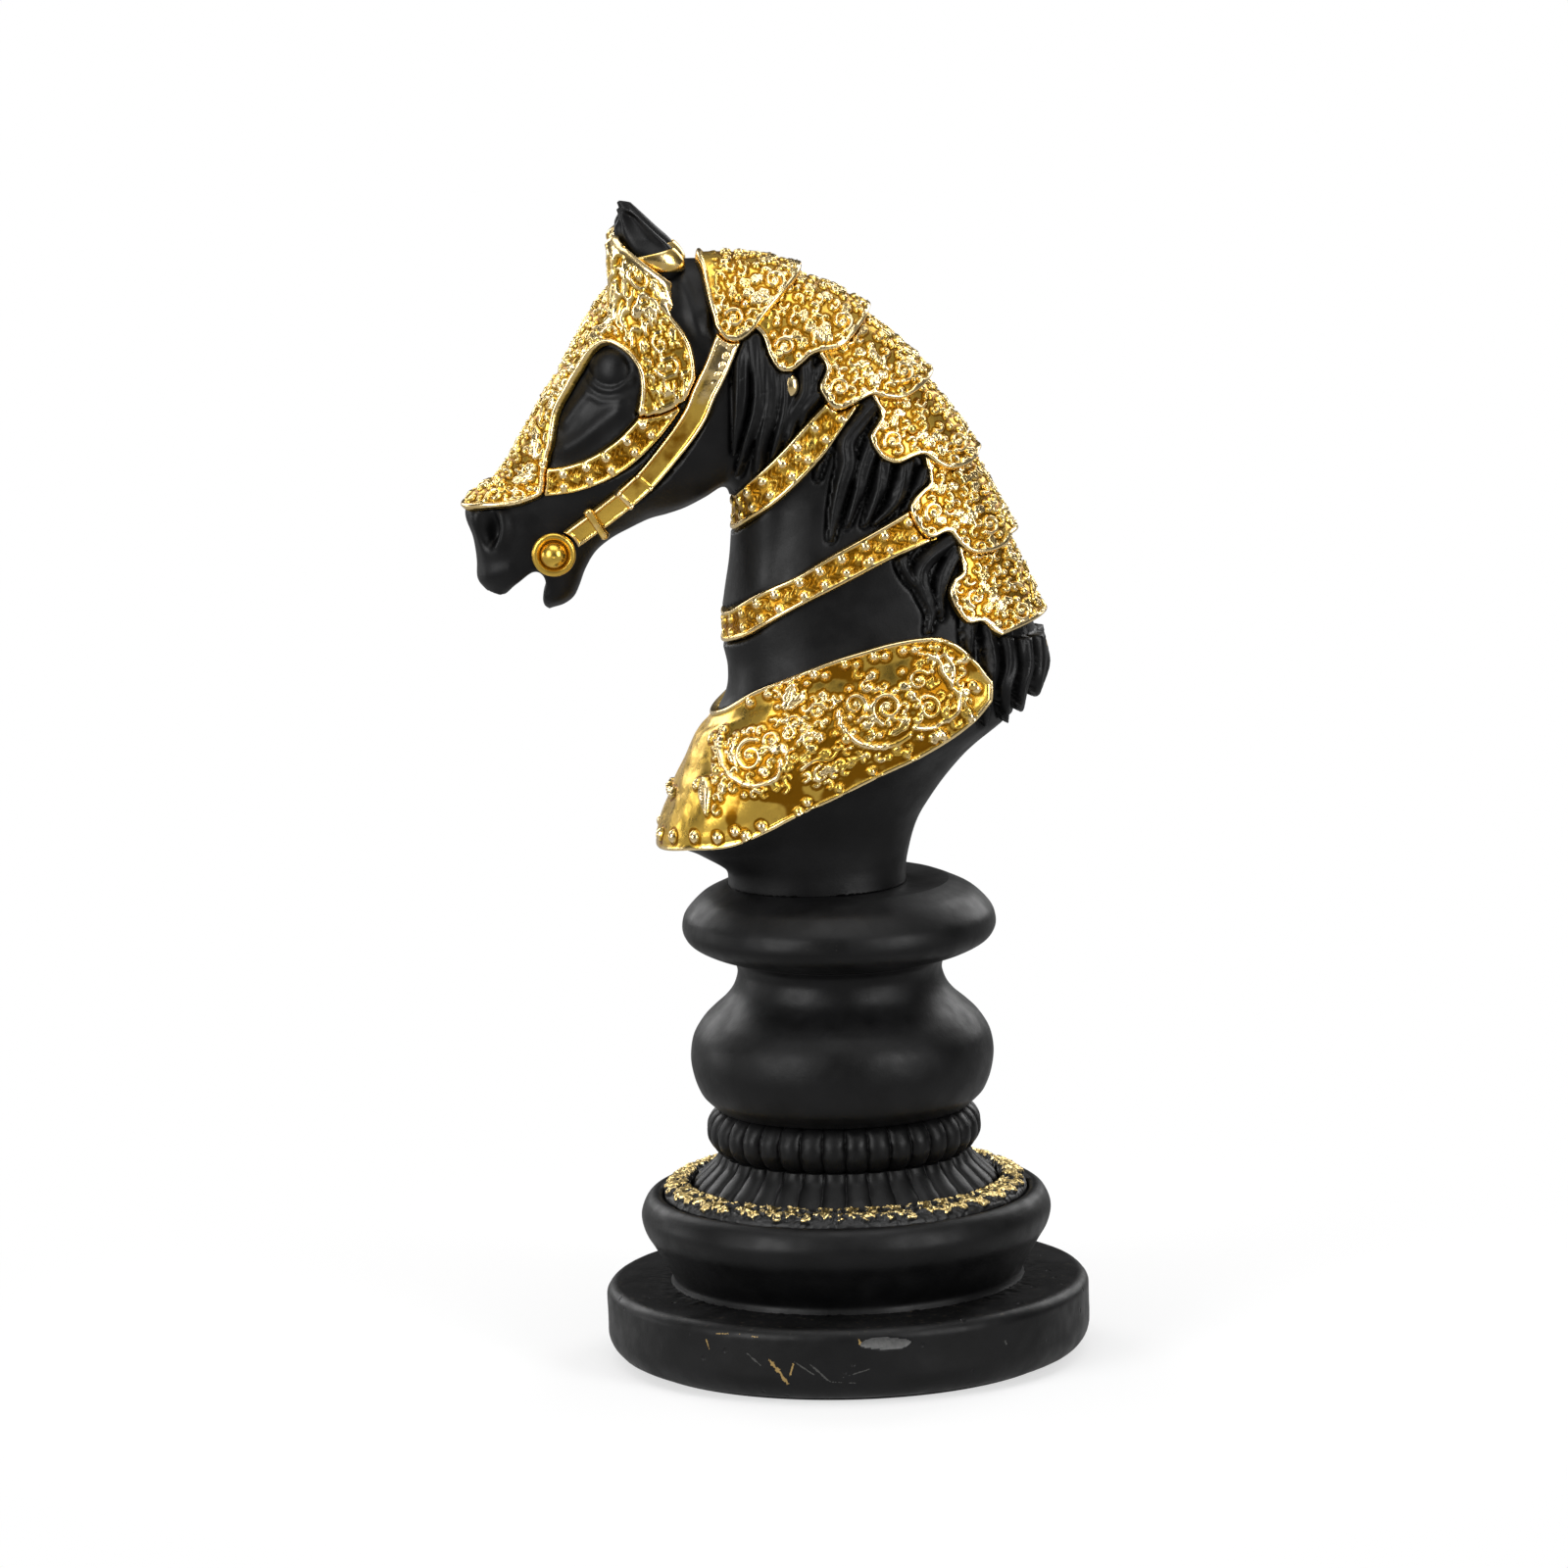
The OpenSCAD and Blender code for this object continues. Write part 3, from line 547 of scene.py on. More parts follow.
def stamp(p, domes):
    """Height at each point of the highest of many domes, which are mirrored to the other side."""
    out = np.zeros(len(p), np.float32)
    p, domes = p.astype(np.float32), domes.astype(np.float32)
    p[:, 1] = np.abs(p[:, 1])
    order = np.argsort(p[:, 2])
    for i in range(0, len(p), 1500):
        pick = order[i:i + 1500]
        q = p[pick]
        near = domes[(domes[:, 2] > q[:, 2].min() - 2) & (domes[:, 2] < q[:, 2].max() + 2)]
        if len(near):
            d2 = ((q[:, None] - near[None, :, :3]) ** 2).sum(2)
            out[pick] = (near[:, 4] * np.clip(1 - d2 / near[:, 3] ** 2, 0, 1) ** 0.7).max(1)
    return out.astype(float)


def halo(p, domes, reach=0.5):
    """1 in the hollows close round the raised work, 0 on it and far from it; it marks where painted shade
    goes.
    """
    wide = domes.copy()
    wide[:, 3] += reach
    wide[:, 4] = 1.0
    return smooth(stamp(p, wide), 0.05, 0.5) * (1 - smooth(stamp(p, domes), 0.0, 0.25))


def rim(d, width, height, inset=0.0):
    return height * dome(d - inset - width / 2, width / 2)


# ---------------------------------------------------------------- materials

class Nodes:
    """Short hand for building the node tree of a material or a world."""

    def __init__(self, block):
        block.use_nodes = True
        self.block, self.tree = block, block.node_tree
        self.place = self.add("ShaderNodeTexCoord").outputs["Object"]
        self.bsdf = self.tree.nodes.get("Principled BSDF")

    def feed(self, socket, value):
        """Links an output to a socket, or sets the socket's own value."""
        if isinstance(value, bpy.types.NodeSocket):
            self.tree.links.new(value, socket)
        else:
            socket.default_value = (*value, 1.0) if socket.type == "RGBA" else value

    def add(self, kind, inputs=(), **settings):
        """A node with its inputs fed by place or by name."""
        node = self.tree.nodes.new(kind)
        for key, value in settings.items():
            setattr(node, key, value)
        for key, value in inputs.items() if isinstance(inputs, dict) else enumerate(inputs):
            self.feed(node.inputs[key], value)
        return node

    def math(self, operation, a, b=0.0, c=0.0):
        return self.add("ShaderNodeMath", [a, b, c], operation=operation).outputs[0]

    def vector(self, operation, inputs):
        return self.add("ShaderNodeVectorMath", inputs, operation=operation).outputs

    def noise(self, size_mm, detail=2.0, rough=0.5):
        """Noise whose features are about size_mm across."""
        inputs = {"Vector": self.place, "Scale": 1.0 / (size_mm * MM), "Detail": detail, "Roughness": rough}
        return self.add("ShaderNodeTexNoise", inputs).outputs["Fac"]

    def uneven(self, amount, middle, *noise):
        """Noise about its middle value, times an amount."""
        return self.math("MULTIPLY", self.math("SUBTRACT", self.noise(*noise), middle), amount)

    def cells(self, size_mm):
        inputs = {"Vector": self.place, "Scale": 1.0 / (size_mm * MM)}
        return self.add("ShaderNodeTexVoronoi", inputs).outputs["Distance"]

    def span(self, value, low, high, to_low=0.0, to_high=1.0):
        """Smooth step of a value from one range to another."""
        inputs = [value, low, high, to_low, to_high]
        return self.add("ShaderNodeMapRange", inputs, interpolation_type="SMOOTHSTEP").outputs[0]

    def blend(self, factor, a, b):
        return self.add("ShaderNodeMix", {0: factor, 6: a, 7: b}, data_type="RGBA").outputs[2]

    def relief(self):
        return self.add("ShaderNodeAttribute", attribute_name="relief").outputs["Fac"]

    def axis(self, letter):
        return self.add("ShaderNodeSeparateXYZ", [self.place]).outputs[letter]

    def seen(self):
        return self.add("ShaderNodeLightPath").outputs["Is Camera Ray"]

    def bump(self, height, distance_mm, strength=1.0, under=None):
        inputs = {"Height": height, "Distance": distance_mm * MM, "Strength": strength}
        if under is not None:
            inputs["Normal"] = under
        return self.add("ShaderNodeBump", inputs).outputs[0]

    def finish(self, color, roughness, metallic=0.0, normal=None, specular=0.5):
        inputs = {"Base Color": color, "Roughness": roughness, "Metallic": metallic,
                  "Specular IOR Level": specular}
        if normal is not None:
            inputs["Normal"] = normal
        for key, value in inputs.items():
            self.feed(self.bsdf.inputs[key], value)
        return self.block


def new_material(name):
    return Nodes(bpy.data.materials.new(name))


BLACK_LOW, BLACK_HIGH = (0.0012, 0.0012, 0.0013), (0.0042, 0.0042, 0.0045)
BLACK_SHEEN = 0.25


def black_paint(n):
    """Colour, roughness and normal of the satin black paint on the cast resin."""
    color = n.blend(n.span(n.noise(14.0, 3.0), 0.35, 0.7), BLACK_LOW, BLACK_HIGH)
    dust = n.math("MULTIPLY", n.span(n.cells(1.7), 0.075, 0.04), n.span(n.noise(6.0), 0.55, 0.7))
    color = n.blend(n.math("MULTIPLY", dust, 0.35), color, (0.09, 0.088, 0.08))
    rough = n.span(n.noise(5.0, 4.0), 0.3, 0.75, 0.40, 0.54)
    grain = n.bump(n.noise(0.45, 3.0, 0.6), 0.05, 0.5)
    return color, rough, n.bump(n.noise(3.2, 2.0), 0.12, 0.5, grain)


def make_black_resin():
    n = new_material("black_resin")
    color, rough, normal = black_paint(n)
    return n.finish(color, rough, 0.0, normal, BLACK_SHEEN)


def make_gold():
    """Gold lacquer: painted shade makes it dark and brown in the recesses, and a painted highlight makes it
    pale on the high points, which are also smoother.
    """
    n = new_material("gold_lacquer")
    height = n.math("ADD", n.relief(), n.uneven(0.55, 0.5, 2.2, 3.0))
    # Painted shade: dark brown where the level is low, in the recesses; painted highlight: pale where it is
    # high.
    color = n.blend(n.span(height, 0.04, 0.46), (0.27, 0.115, 0.005), (0.80, 0.51, 0.085))
    color = n.blend(n.span(height, 0.55, 1.05), color, (1.0, 0.77, 0.40))
    grain = n.bump(n.noise(0.6, 2.0, 0.55), 0.05, 0.35)
    normal = n.bump(n.noise(2.0, 2.0), 0.16, 0.5, grain)
    return n.finish(color, n.span(height, 0.1, 0.7, 0.42, 0.22), 1.0, normal)


def make_leaf_paint():
    """Black leaves with gold brushed over their high points, and more gold towards the left and right sides as
    a painted highlight.
    """
    n = new_material("brushed_gold")
    black, _, normal = black_paint(n)
    brushed = n.math("ADD", n.relief(), n.uneven(1.7, 0.5, 1.1, 4.0, 0.7))
    # Painted highlight: more gold towards the left and right, where the side lights fall.
    sides = n.span(n.math("ABSOLUTE", n.axis("X")), 0.004, 0.032, 0.0, 0.2)
    mask = n.span(n.math("ADD", brushed, sides), 0.82, 0.94)
    color = n.blend(mask, black, n.blend(n.noise(1.6), (0.84, 0.58, 0.17), (0.92, 0.74, 0.38)))
    return n.finish(color, n.span(mask, 0.0, 1.0, 0.5, 0.28), mask, normal)


def scratch(n, start, end, width):
    """Mask of one straight, ragged scratch between two points in millimetres."""
    start, end = Vector(start) * MM, Vector(end) * MM
    way = end - start
    offset = n.vector("SUBTRACT", [n.place, tuple(start)])[0]
    share = n.vector("DOT_PRODUCT", [offset, tuple(way / way.length_squared)])["Value"]
    share = n.math("MINIMUM", n.math("MAXIMUM", share, 0.0), 1.0)
    apart = n.vector("DISTANCE", [offset, n.vector("SCALE", {0: tuple(way), "Scale": share})[0]])["Value"]
    return n.math("LESS_THAN", apart, n.uneven(width * MM * 3.2, 0.36, 1.0, 3.0, 0.7))


def on_plinth(angle, z):
    """Point on the plinth's wall, angle in degrees from the side the horse turns to the camera."""
    r, a = level("plinth")[2], math.radians(angle)
    return (r * math.sin(a), -r * math.cos(a), z)


# Scratches on the plinth's wall: angle and z of both ends, and width.
GOLD_SCRATCHES = [((-19.2, 9.6), (-15.8, 5.9), 0.7), ((-15.8, 5.9), (-14.3, 3.6), 0.55),
                  ((-13.6, 9.2), (-14.6, 6.6), 0.3), ((1.8, 14.6), (2.3, 13.6), 0.5), ((-33, 14.6),
                                                                                       (-30, 14.9), 0.3),
                  ((-27, 15.0), (-22, 14.6), 0.25), ((-36, 13.0), (-35.2, 11.0), 0.3)]
PALE_SCRATCHES = [((-13.5, 9.8), (-8.8, 7.0), 0.22), ((-9.6, 9.2), (-5.0, 5.4), 0.3),
                  ((-5.0, 5.4), (1.0, 5.0), 0.22),
                  ((-25, 11.0), (-21.5, 8.5), 0.3), ((-2.0, 6.4), (4.2, 8.0), 0.2), ((39.2, 10.6),
                                                                                     (39.6, 9.8), 0.6)]


def make_plinth_paint():
    """The black paint with the plinth's rubbed edge, scratches and grey chip."""
    n = new_material("plinth_resin")
    color, rough, normal = black_paint(n)
    for marks, tint in ((GOLD_SCRATCHES, (0.30, 0.20, 0.07)), (PALE_SCRATCHES, (0.055, 0.055, 0.052))):
        for start, end, width in marks:
            color = n.blend(scratch(n, on_plinth(*start), on_plinth(*end), width), color, tint)
    bare = n.blend(n.noise(0.8, 3.0), (0.05, 0.05, 0.049), (0.15, 0.15, 0.148))
    color = n.blend(n.span(n.relief(), 0.4, 0.6), color, bare)
    rubbed = n.math("MULTIPLY", n.span(n.noise(1.3, 4.0, 0.7), 0.60, 0.70),
                    n.span(n.axis("Z"), 0.0150, 0.0162))
    color = n.blend(n.math("MULTIPLY", rubbed, 0.35), color, (0.12, 0.10, 0.07))
    normal = n.bump(n.span(n.cells(5.5), 0.05, 0.12), 0.25, 0.7, normal)
    return n.finish(color, rough, 0.0, normal, BLACK_SHEEN)


def make_metal(name, size, low, high):
    n = new_material(name)
    rough = n.span(n.noise(0.8), 0.3, 0.7, 0.25, 0.4)
    return n.finish(n.blend(n.noise(size), low, high), rough, 1.0, n.bump(n.noise(0.3), 0.02, 0.4))


def make_felt():
    n = new_material("felt_pad")
    color = n.blend(n.noise(0.7, 4.0, 0.7), (0.008, 0.008, 0.009), (0.03, 0.03, 0.032))
    return n.finish(color, 0.95, 0.0, n.bump(n.noise(0.25, 4.0, 0.8), 0.2, 0.9), 0.1)


BLACK = make_black_resin()
GOLD = make_gold()


# ---------------------------------------------------------------- pedestal

BORE_R = 3.2
SPIGOT_R, SPIGOT_H = 12.0, 3.0
SOCKET_R = SPIGOT_R + 0.1
BEADS = 36
LEAVES = 38
LEAF_R = 35.5
CHIP = {"angle": 8.2, "z": 13.3, "half_length": 5.5, "half_height": 1.35}


def level(node):
    """Lowest and highest z and the widest radius of a CAD node, in millimetres."""
    low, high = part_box(node)
    return low.z / MM, high.z / MM, (high.x - low.x) / 2 / MM


def arc(cx, cz, r, a0, a1, n=10):
    a = np.radians(np.linspace(a0, a1, n))
    return np.stack([cx + r * np.cos(a), cz + r * np.sin(a)], -1)


def socket_in(z):
    return [(SOCKET_R, z - SPIGOT_H - 0.1), (BORE_R, z - SPIGOT_H - 0.1)]


def spin(name, section, segments, material, slot, shape):
    """Closed turned piece from a closed section of [radius, height]; shape moves its points."""
    r, a = rows_and_columns(section[:, 0], circle(segments))
    r, z, shade = shape(r, np.repeat(section[:, 1:2], segments, 1), a)
    return add_mesh(name, polar(r, a, z).reshape(-1, 3), ring_faces(*r.shape), material, slot, shade.ravel())


def casting(name, z0, z1, offsets, top, segments, shape, per=8, socket=True):
    """Turned casting with its bore, spigot and socket; offsets are [radius less the widest, height]."""
    r = level(name)[2]
    outline = smooth_line([(r + dr, z0 + dz) for dr, dz in offsets] + [(r + top, z1)], per)
    low = [(BORE_R, z0 - SPIGOT_H), (SPIGOT_R, z0 - SPIGOT_H), (SPIGOT_R, z0)]
    high = [(SOCKET_R, z1), *socket_in(z1)] if socket else [(BORE_R, z1)]
    return spin(name, np.vstack([low, outline, high]), segments, BLACK, "black_resin", shape)


def cast_wobble(seed):
    """Slight unevenness of a hand-finished casting."""
    def shape(r, z, a):
        p = polar(r, a, z)
        n = value_noise(p, 12.0, seed) - 0.5 + (value_noise(p, 4.0, seed + 1) - 0.5) * 0.4
        return r + 0.16 * n * (r > SPIGOT_R + 1.5), z, np.zeros(r.shape)
    return shape


def fluted(groove, z_low, z_high, seed, sharp=2.2):
    """Cuts narrow grooves between rounded ribs, uneven like hand-modelled ones."""
    def shape(r, z, a):
        wave = a + 0.0025 * np.sin(z * 1.9 + 7 * np.sin(a * 5 + seed))
        x = (wave / TURN * BEADS) % 1.0 * 2 - 1
        ridge = (1 - np.abs(x) ** sharp) ** 0.5
        band = smooth(z, z_low, z_low + 1.2) * smooth(z, z_high, z_high - 1.2) * (r > SPIGOT_R + 4)
        size = 1 + 0.2 * (value_noise(polar(r, a, z), 7.0, seed) - 0.5)
        return r - groove * (1 - ridge) * band * size, z, ridge * band
    return shape


def chip_shape(r, z, a):
    """A flat lens chipped out of the plinth's wall, with its mask."""
    off = (np.degrees(a) + 90 - CHIP["angle"] + 180) % 360 - 180
    along = np.radians(off) * r / CHIP["half_length"]
    up = (z - CHIP["z"]) / CHIP["half_height"]
    lens = np.clip(1 - along ** 2 - (up + 0.15 * np.sin(along * 3)) ** 2, 0,
                   1) * (r > 0.8 * level("plinth")[2])
    return r - 0.9 * lens ** 0.6, smooth(lens, 0.0, 0.1)


def make_foot_pad():
    z0, z1, r = level("foot_pad")
    section = np.vstack([[(0.3, z0)], arc(r - 0.5, z0 + 0.5, 0.5, -90, 0, 6), [(r, z1), (0.3, z1)]])
    return spin("foot_pad", section, 180, make_felt(), "felt_pad", lambda r, z, a: (r, z, np.zeros(r.shape)))


def make_plinth():
    z0, z1, r = level("plinth")
    low, high = 6.0, 2.6
    wall = [(r, z) for z in np.linspace(z0 + low, z1 - high, 26)[1:-1]]
    top = [(x, z1) for x in np.linspace(r - high, SOCKET_R, 40)[1:]]
    section = np.vstack([[(BORE_R, z0 + 1), (46.3, z0 + 1), (46.3, z0)],
                         arc(r - low, z0 + low, low, -90, 0, 14), wall,
                         arc(r - high, z1 - high, high, 0, 90, 14), top, socket_in(z1)])

    def shape(rr, zz, a):
        rr, shade = chip_shape(rr, zz, a)
        p = polar(rr, a, zz)
        wobble = (value_noise(p, 9.0, 3) - 0.5) * 0.35 + (value_noise(p, 2.6, 4) - 0.5) * 0.10
        near_drum = smooth(rr, 44, 38) * (zz > z1 - 0.5) * smooth(rr, 30, 34)
        rough = near_drum * (value_noise(p, 1.1, 5) - 0.4) * 0.5
        return rr + wobble * (rr > r - 3), zz + rough * (rr > SPIGOT_R + 1) * (zz > z1 - 1), shade

    return spin("plinth", section, 720, make_plinth_paint(), "black_resin", shape)


def make_castings():
    """The five turned castings that stand on the plinth, from the bottom up."""
    drum, ring, top = level("plinth")[1], level("leaf_ring")[0], level("collar")[1]
    beads, bulb, collar = (level(name)[0] + SPIGOT_H for name in ("bead_ring", "baluster", "collar"))
    casting("base_drum", drum, ring,
            [(-5.9, 0), (-6.4, 1.2), (-6.0, 2.4), (-4.4, 5), (-2.5, 8.4), (-0.8, 11.2), (0, 14.1),
             (-0.3, 16.2),
             (-1.5, 18.4), (-3.2, 19.4), (-4.5, 18.9)], -4.8, 360, cast_wobble(11))
    casting("fluted_skirt", ring, beads, [(0, 0), (-0.2, 2.8), (-1.2, 4.4), (-3.1, 6.2), (-5.0, 8.1)], -6,
            1080,
            fluted(1.5, ring - 1.0, beads + 1.5, 21), 10)
    tall = bulb - beads
    casting("bead_ring", beads, bulb,
            [(-3.4, 0), (-1.7, 0.9), (-0.6, 2.3), (0.05, tall / 2 - 1.1), (0.05, tall / 2 + 1.1),
             (-0.6, tall - 2.3),
             (-1.6, tall - 1.0)], -3.0, 1080, fluted(1.75, beads - 0.8, bulb + 0.8, 31, 2.0), 10)
    casting("baluster", bulb, collar,
            [(-5.2, 0), (-3.3, 1.7), (-1.9, 3.4), (-0.6, 6.8), (0, 11), (-0.7, 15.3), (-2.7, 18.7),
             (-4.9, 21),
             (-7.6, 23.4), (-9.5, 25.9), (-10.5, 28.9), (-10.2, 31)], -9.2, 360, cast_wobble(41))
    casting("collar", collar, top,
            [(-10.3, 0), (-8.2, 0.6), (-5.0, 1.6), (-1.7, 3.4), (-0.2, 5.6), (-0.2, 8), (-1.2, 10.2),
             (-4.2, 13.2),
             (-7.6, 15.0)], -10, 360, cast_wobble(51), socket=False)


def wreath():
    """Flat work of the leaf ring: u runs round the ring, v in from its edge."""
    pitch = TURN * LEAF_R / LEAVES
    rng = np.random.default_rng(7)
    domes = []
    for k in range(LEAVES):
        u, lean = (k + 0.5 + 0.25 * rng.uniform(-1, 1)) * pitch, rng.uniform(-0.9, 0.9)
        w = u + pitch / 2
        domes += [leaf([(u - lean, 0.4), (u + 0.4 * lean, 2.4), (u + lean, 4.9)], 1.3, 1.15, 2),
                  leaf([(w, 3.0), (w - lean, 4.4), (w + lean, 5.6)], 1.1, 1.05, 2),
                  leaf([(u, 2.8), (u + 1.5, 3.6), (u + 2.3, 4.6)], 0.9, 0.95, 2),
                  leaf([(u, 2.2), (u - 1.6, 2.6), (u - 2.4, 3.6)], 0.9, 0.9, 2),
                  bead(w, 1.3 + rng.uniform(-0.5, 0.5), 0.75, 1.0), bead(w + 0.9, 4.2, 0.6, 0.8),
                  leaf([(u - 1.6, 0.5), (u + 0.4, 1.1 + 0.5 * lean), (u + 1.7, 0.6)], 0.9, 1.15, 2),
                  bead(w + 1.3 * lean, 0.4, 0.7, 1.1)]
    return np.vstack(domes)


def make_leaf_ring():
    """A wreath of small overlapping leaves and berries on a sloping ring."""
    z0, _, r = level("leaf_ring")
    inner, foot = level("fluted_skirt")[2] + 0.15, z0 + 0.1
    slope = [(r, foot + 0.9), (r - 0.5, foot + 1.7), (r - 2.0, foot + 2.6), (inner + 1.4, foot + 3.2),
             (inner + 0.3, foot + 3.3)]
    section = np.vstack([[(inner, foot), (r, foot)], smooth_line(slope, 9)])
    path, domes = lengths(section), wreath()

    def shape(rr, z, a):
        up = path[-1] - np.repeat(path[:, None], rr.shape[1], 1)
        flat = np.stack([a * LEAF_R, 0 * a, up], -1).reshape(-1, 3)
        height = stamp(flat, np.insert(domes, 1, 0.0, axis=1)).reshape(rr.shape)
        height += 0.22 * np.clip((value_noise(polar(rr, a, z), 0.9, 9) - 0.42) / 0.3, 0, 1) ** 0.7
        height *= z > foot + 0.5
        return rr + height * 0.45, z + height * 0.8, np.clip(height / 1.2, 0, 1)

    return spin("leaf_ring", section, 1200, make_leaf_paint(), "brushed_gold", shape)


# ---------------------------------------------------------------- the black bust

MOUTH = [(-71, 160), (-68.6, 167.2), (-65.2, 170.6), (-62.4, 172.6), (-60.6, 171.2), (-60.2, 168.6),
         (-61.2, 166.2), (-61, 158)]

# Locks of the mane: side-view line from under the barding to the tip, and its half width.
LOCKS = [
    ([(-17.4, 223.5), (-17.6, 216.0), (-17.9, 208.7), (-19.2, 198.2)], 1.8),
    ([(-14.6, 221.5), (-13.9, 212.6), (-14.3, 207.0), (-16.6, 200.0), (-18.5, 193.3)], 1.6),
    ([(-11.6, 219.0), (-11.2, 210.6), (-12.5, 204.5), (-14.0, 198.0), (-14.6, 190.4)], 1.8),
    ([(-8.2, 217.0), (-8.4, 208.5), (-9.9, 202.0), (-11.6, 195.8)], 1.6),
    ([(-4.4, 217.4), (-4.4, 210.5), (-7.2, 205.0), (-8.4, 199.0)], 1.8),
    ([(-1.0, 215.0), (-1.8, 210.4), (-4.6, 206.2), (-5.2, 202.0)], 1.4),
    ([(10.4, 208.4), (6.9, 204.4), (3.9, 199.8), (4.1, 195.4), (2.7, 190.6), (1.4, 185.4), (0.3, 179.6)],
     2.1),
    ([(11.2, 203.3), (8.9, 197.7), (7.2, 193.0), (6.2, 189.2), (3.6, 182.2)], 1.7),
    ([(12.4, 197.5), (10.9, 190.8), (9.6, 187.4), (7.4, 182.3)], 1.6),
    ([(16.6, 196.0), (14.8, 189.2), (13.0, 185.9), (9.6, 182.6)], 1.8),
    ([(20.0, 192.2), (18.0, 187.5), (15.6, 184.4)], 1.6),
    ([(2.2, 205.0), (-0.9, 197.4), (-2.2, 192.2)], 1.2),
    ([(26.0, 178.6), (20.6, 174.6), (18.7, 171.2), (19.7, 167.3), (21.0, 163.2), (20.2, 159.4)], 1.8),
    ([(27.6, 178.0), (24.0, 171.7), (22.8, 167.5), (23.0, 162.2)], 1.5),
    ([(18.0, 179.0), (15.2, 175.3), (16.2, 171.3), (18.6, 167.9)], 1.2),
    ([(29.4, 165.0), (28.6, 158.0), (28.6, 153.0)], 1.6),
    ([(32.0, 161.0), (33.2, 152.0), (32.2, 146.0), (31.2, 139.0)], 1.6),
    ([(35.4, 160.0), (36.8, 151.0), (35.6, 146.0), (35.8, 139.0)], 1.5),
    ([(38.8, 160.0), (40.2, 151.0), (39.2, 146.0), (39.0, 140.0)], 1.5),
    ([(42.2, 160.0), (43.4, 152.0), (42.6, 147.0), (42.0, 141.0)], 1.5)]

# Modelling of the head in the side view. Ridges: line, half width, height; the lids' lines start at the eye.
EYE = (-45.6, 216.9)
NOSTRIL = (-71.4, 181.6)
LIDS = [([(-4.6, -1.5), (-3.2, 3.6), (1.0, 5.0), (4.9, 2.0), (5.6, -1.6)], 0.8, 0.9),
        ([(-5.0, -1.8), (-2.6, -4.4), (1.2, -4.9), (5.6, -2.4)], 0.75, 0.75),
        ([(-6.4, -4.0), (-2.0, -7.2), (4.4, -6.6)], 0.8, 0.4)]
RIDGES = [([(-56.0, 203.0), (-52.6, 208.0), (-49.6, 211.8)], 1.1, 0.5),
          ([(-58.5, 197.5), (-52.5, 200.6), (-46.7, 205.4), (-40.5, 210.0)], 1.7, 0.75),
          ([(-46, 180.5), (-38, 186.0), (-28, 189.0)], 2.6, -0.35),
          ([(-70.0, 186.4), (-68.4, 182.4), (-69.8, 177.6)], 1.2, 0.55),
          ([(-62.6, 172.8), (-60.4, 174.6), (-57.4, 176.6)], 0.8, -0.7),
          ([(-73.5, 172.0), (-69.8, 172.6), (-66.4, 173.4)], 1.6, 0.35),
          ([(-30.5, 236), (-28.4, 231), (-27.5, 226), (-25.0, 221)], 1.3, 0.6),
          ([(-24.5, 224), (-22.0, 218), (-20.5, 214)], 1.0, 0.5),
          ([(-21.6, 230), (-23.2, 225.5), (-23.0, 220)], 0.9, -0.5),
          ([(-9.6, 190), (-10.6, 180), (-12.4, 168)], 2.4, -0.45),
          ([(-3.0, 190), (-3.4, 180), (-4.2, 168)], 3.0, 0.4)]
# Bumps: centre, half length, half width, angle, height, and how flat their tops are.
BUMPS = [(EYE, 7.5, 6.0, 60, -0.9, 2), ((-32.5, 197), 12.0, 12.0, 0, 2.4, 2),
         ((-61, 184), 6.0, 3.0, 130, -0.55, 2),
         (NOSTRIL, 4.6, 3.0, 75, 1.2, 2), (NOSTRIL, 3.4, 1.6, 80, -4.2, 3), ((-57.2, 167.4), 3.0, 2.6, 0, 0.4,
                                                                             2),
         ((-25.6, 227.2), 2.3, 2.5, 0, 0.8, 2)]
NOSE_BUMPS = [((-74.6, 184.6), 3.6, 3.4, 0, 3.0, 2), ((-73.4, 170.6), 3.4, 3.0, 0, 1.5, 2)]


def loft_bust():
    """The bare bust: rings along the ribs, closed by a dome at the lips."""
    rings = skin(*rows_and_columns(np.linspace(0, RIB_LAST, 420), np.linspace(0, 360, 201)[:-1]))
    last, centre = rings[-1], rings[-1].mean(0)
    out = unit(centre - rings[-12].mean(0))
    lips = [centre + (last - centre) * math.sqrt(1 - k * k) + out * 1.3 * k for k in (0.35, 0.6, 0.8, 0.93,
                                                                                      0.99)]
    rings = np.vstack([rings, np.array(lips)])
    return rings.reshape(-1, 3), capped_faces(*rings.shape[:2])


def mouth_cutter():
    outline = closed_line(MOUTH)
    verts = [(x, y, z) for y in (-20, 20) for x, z in outline]
    return add_mesh("mouth_cutter", verts, capped_faces(2, len(outline)), BLACK)


def remeshed_bust(voxel):
    """Bust with its mouth cut, remeshed as even quads: points and faces."""
    body, cutter = add_mesh("bust_work", *loft_bust(), BLACK), mouth_cutter()
    cut = body.modifiers.new("mouth", "BOOLEAN")
    cut.operation, cut.object, cut.solver = "DIFFERENCE", cutter, "EXACT"
    even = body.modifiers.new("even", "REMESH")
    even.mode, even.voxel_size = "VOXEL", voxel * MM
    mesh = bpy.data.meshes.new_from_object(body.evaluated_get(bpy.context.evaluated_depsgraph_get()))
    points, faces = read(mesh.vertices, "co").astype(float) / MM, [tuple(p.vertices) for p in mesh.polygons]
    for obj in (body, cutter):
        bpy.data.objects.remove(obj)
    return points, faces


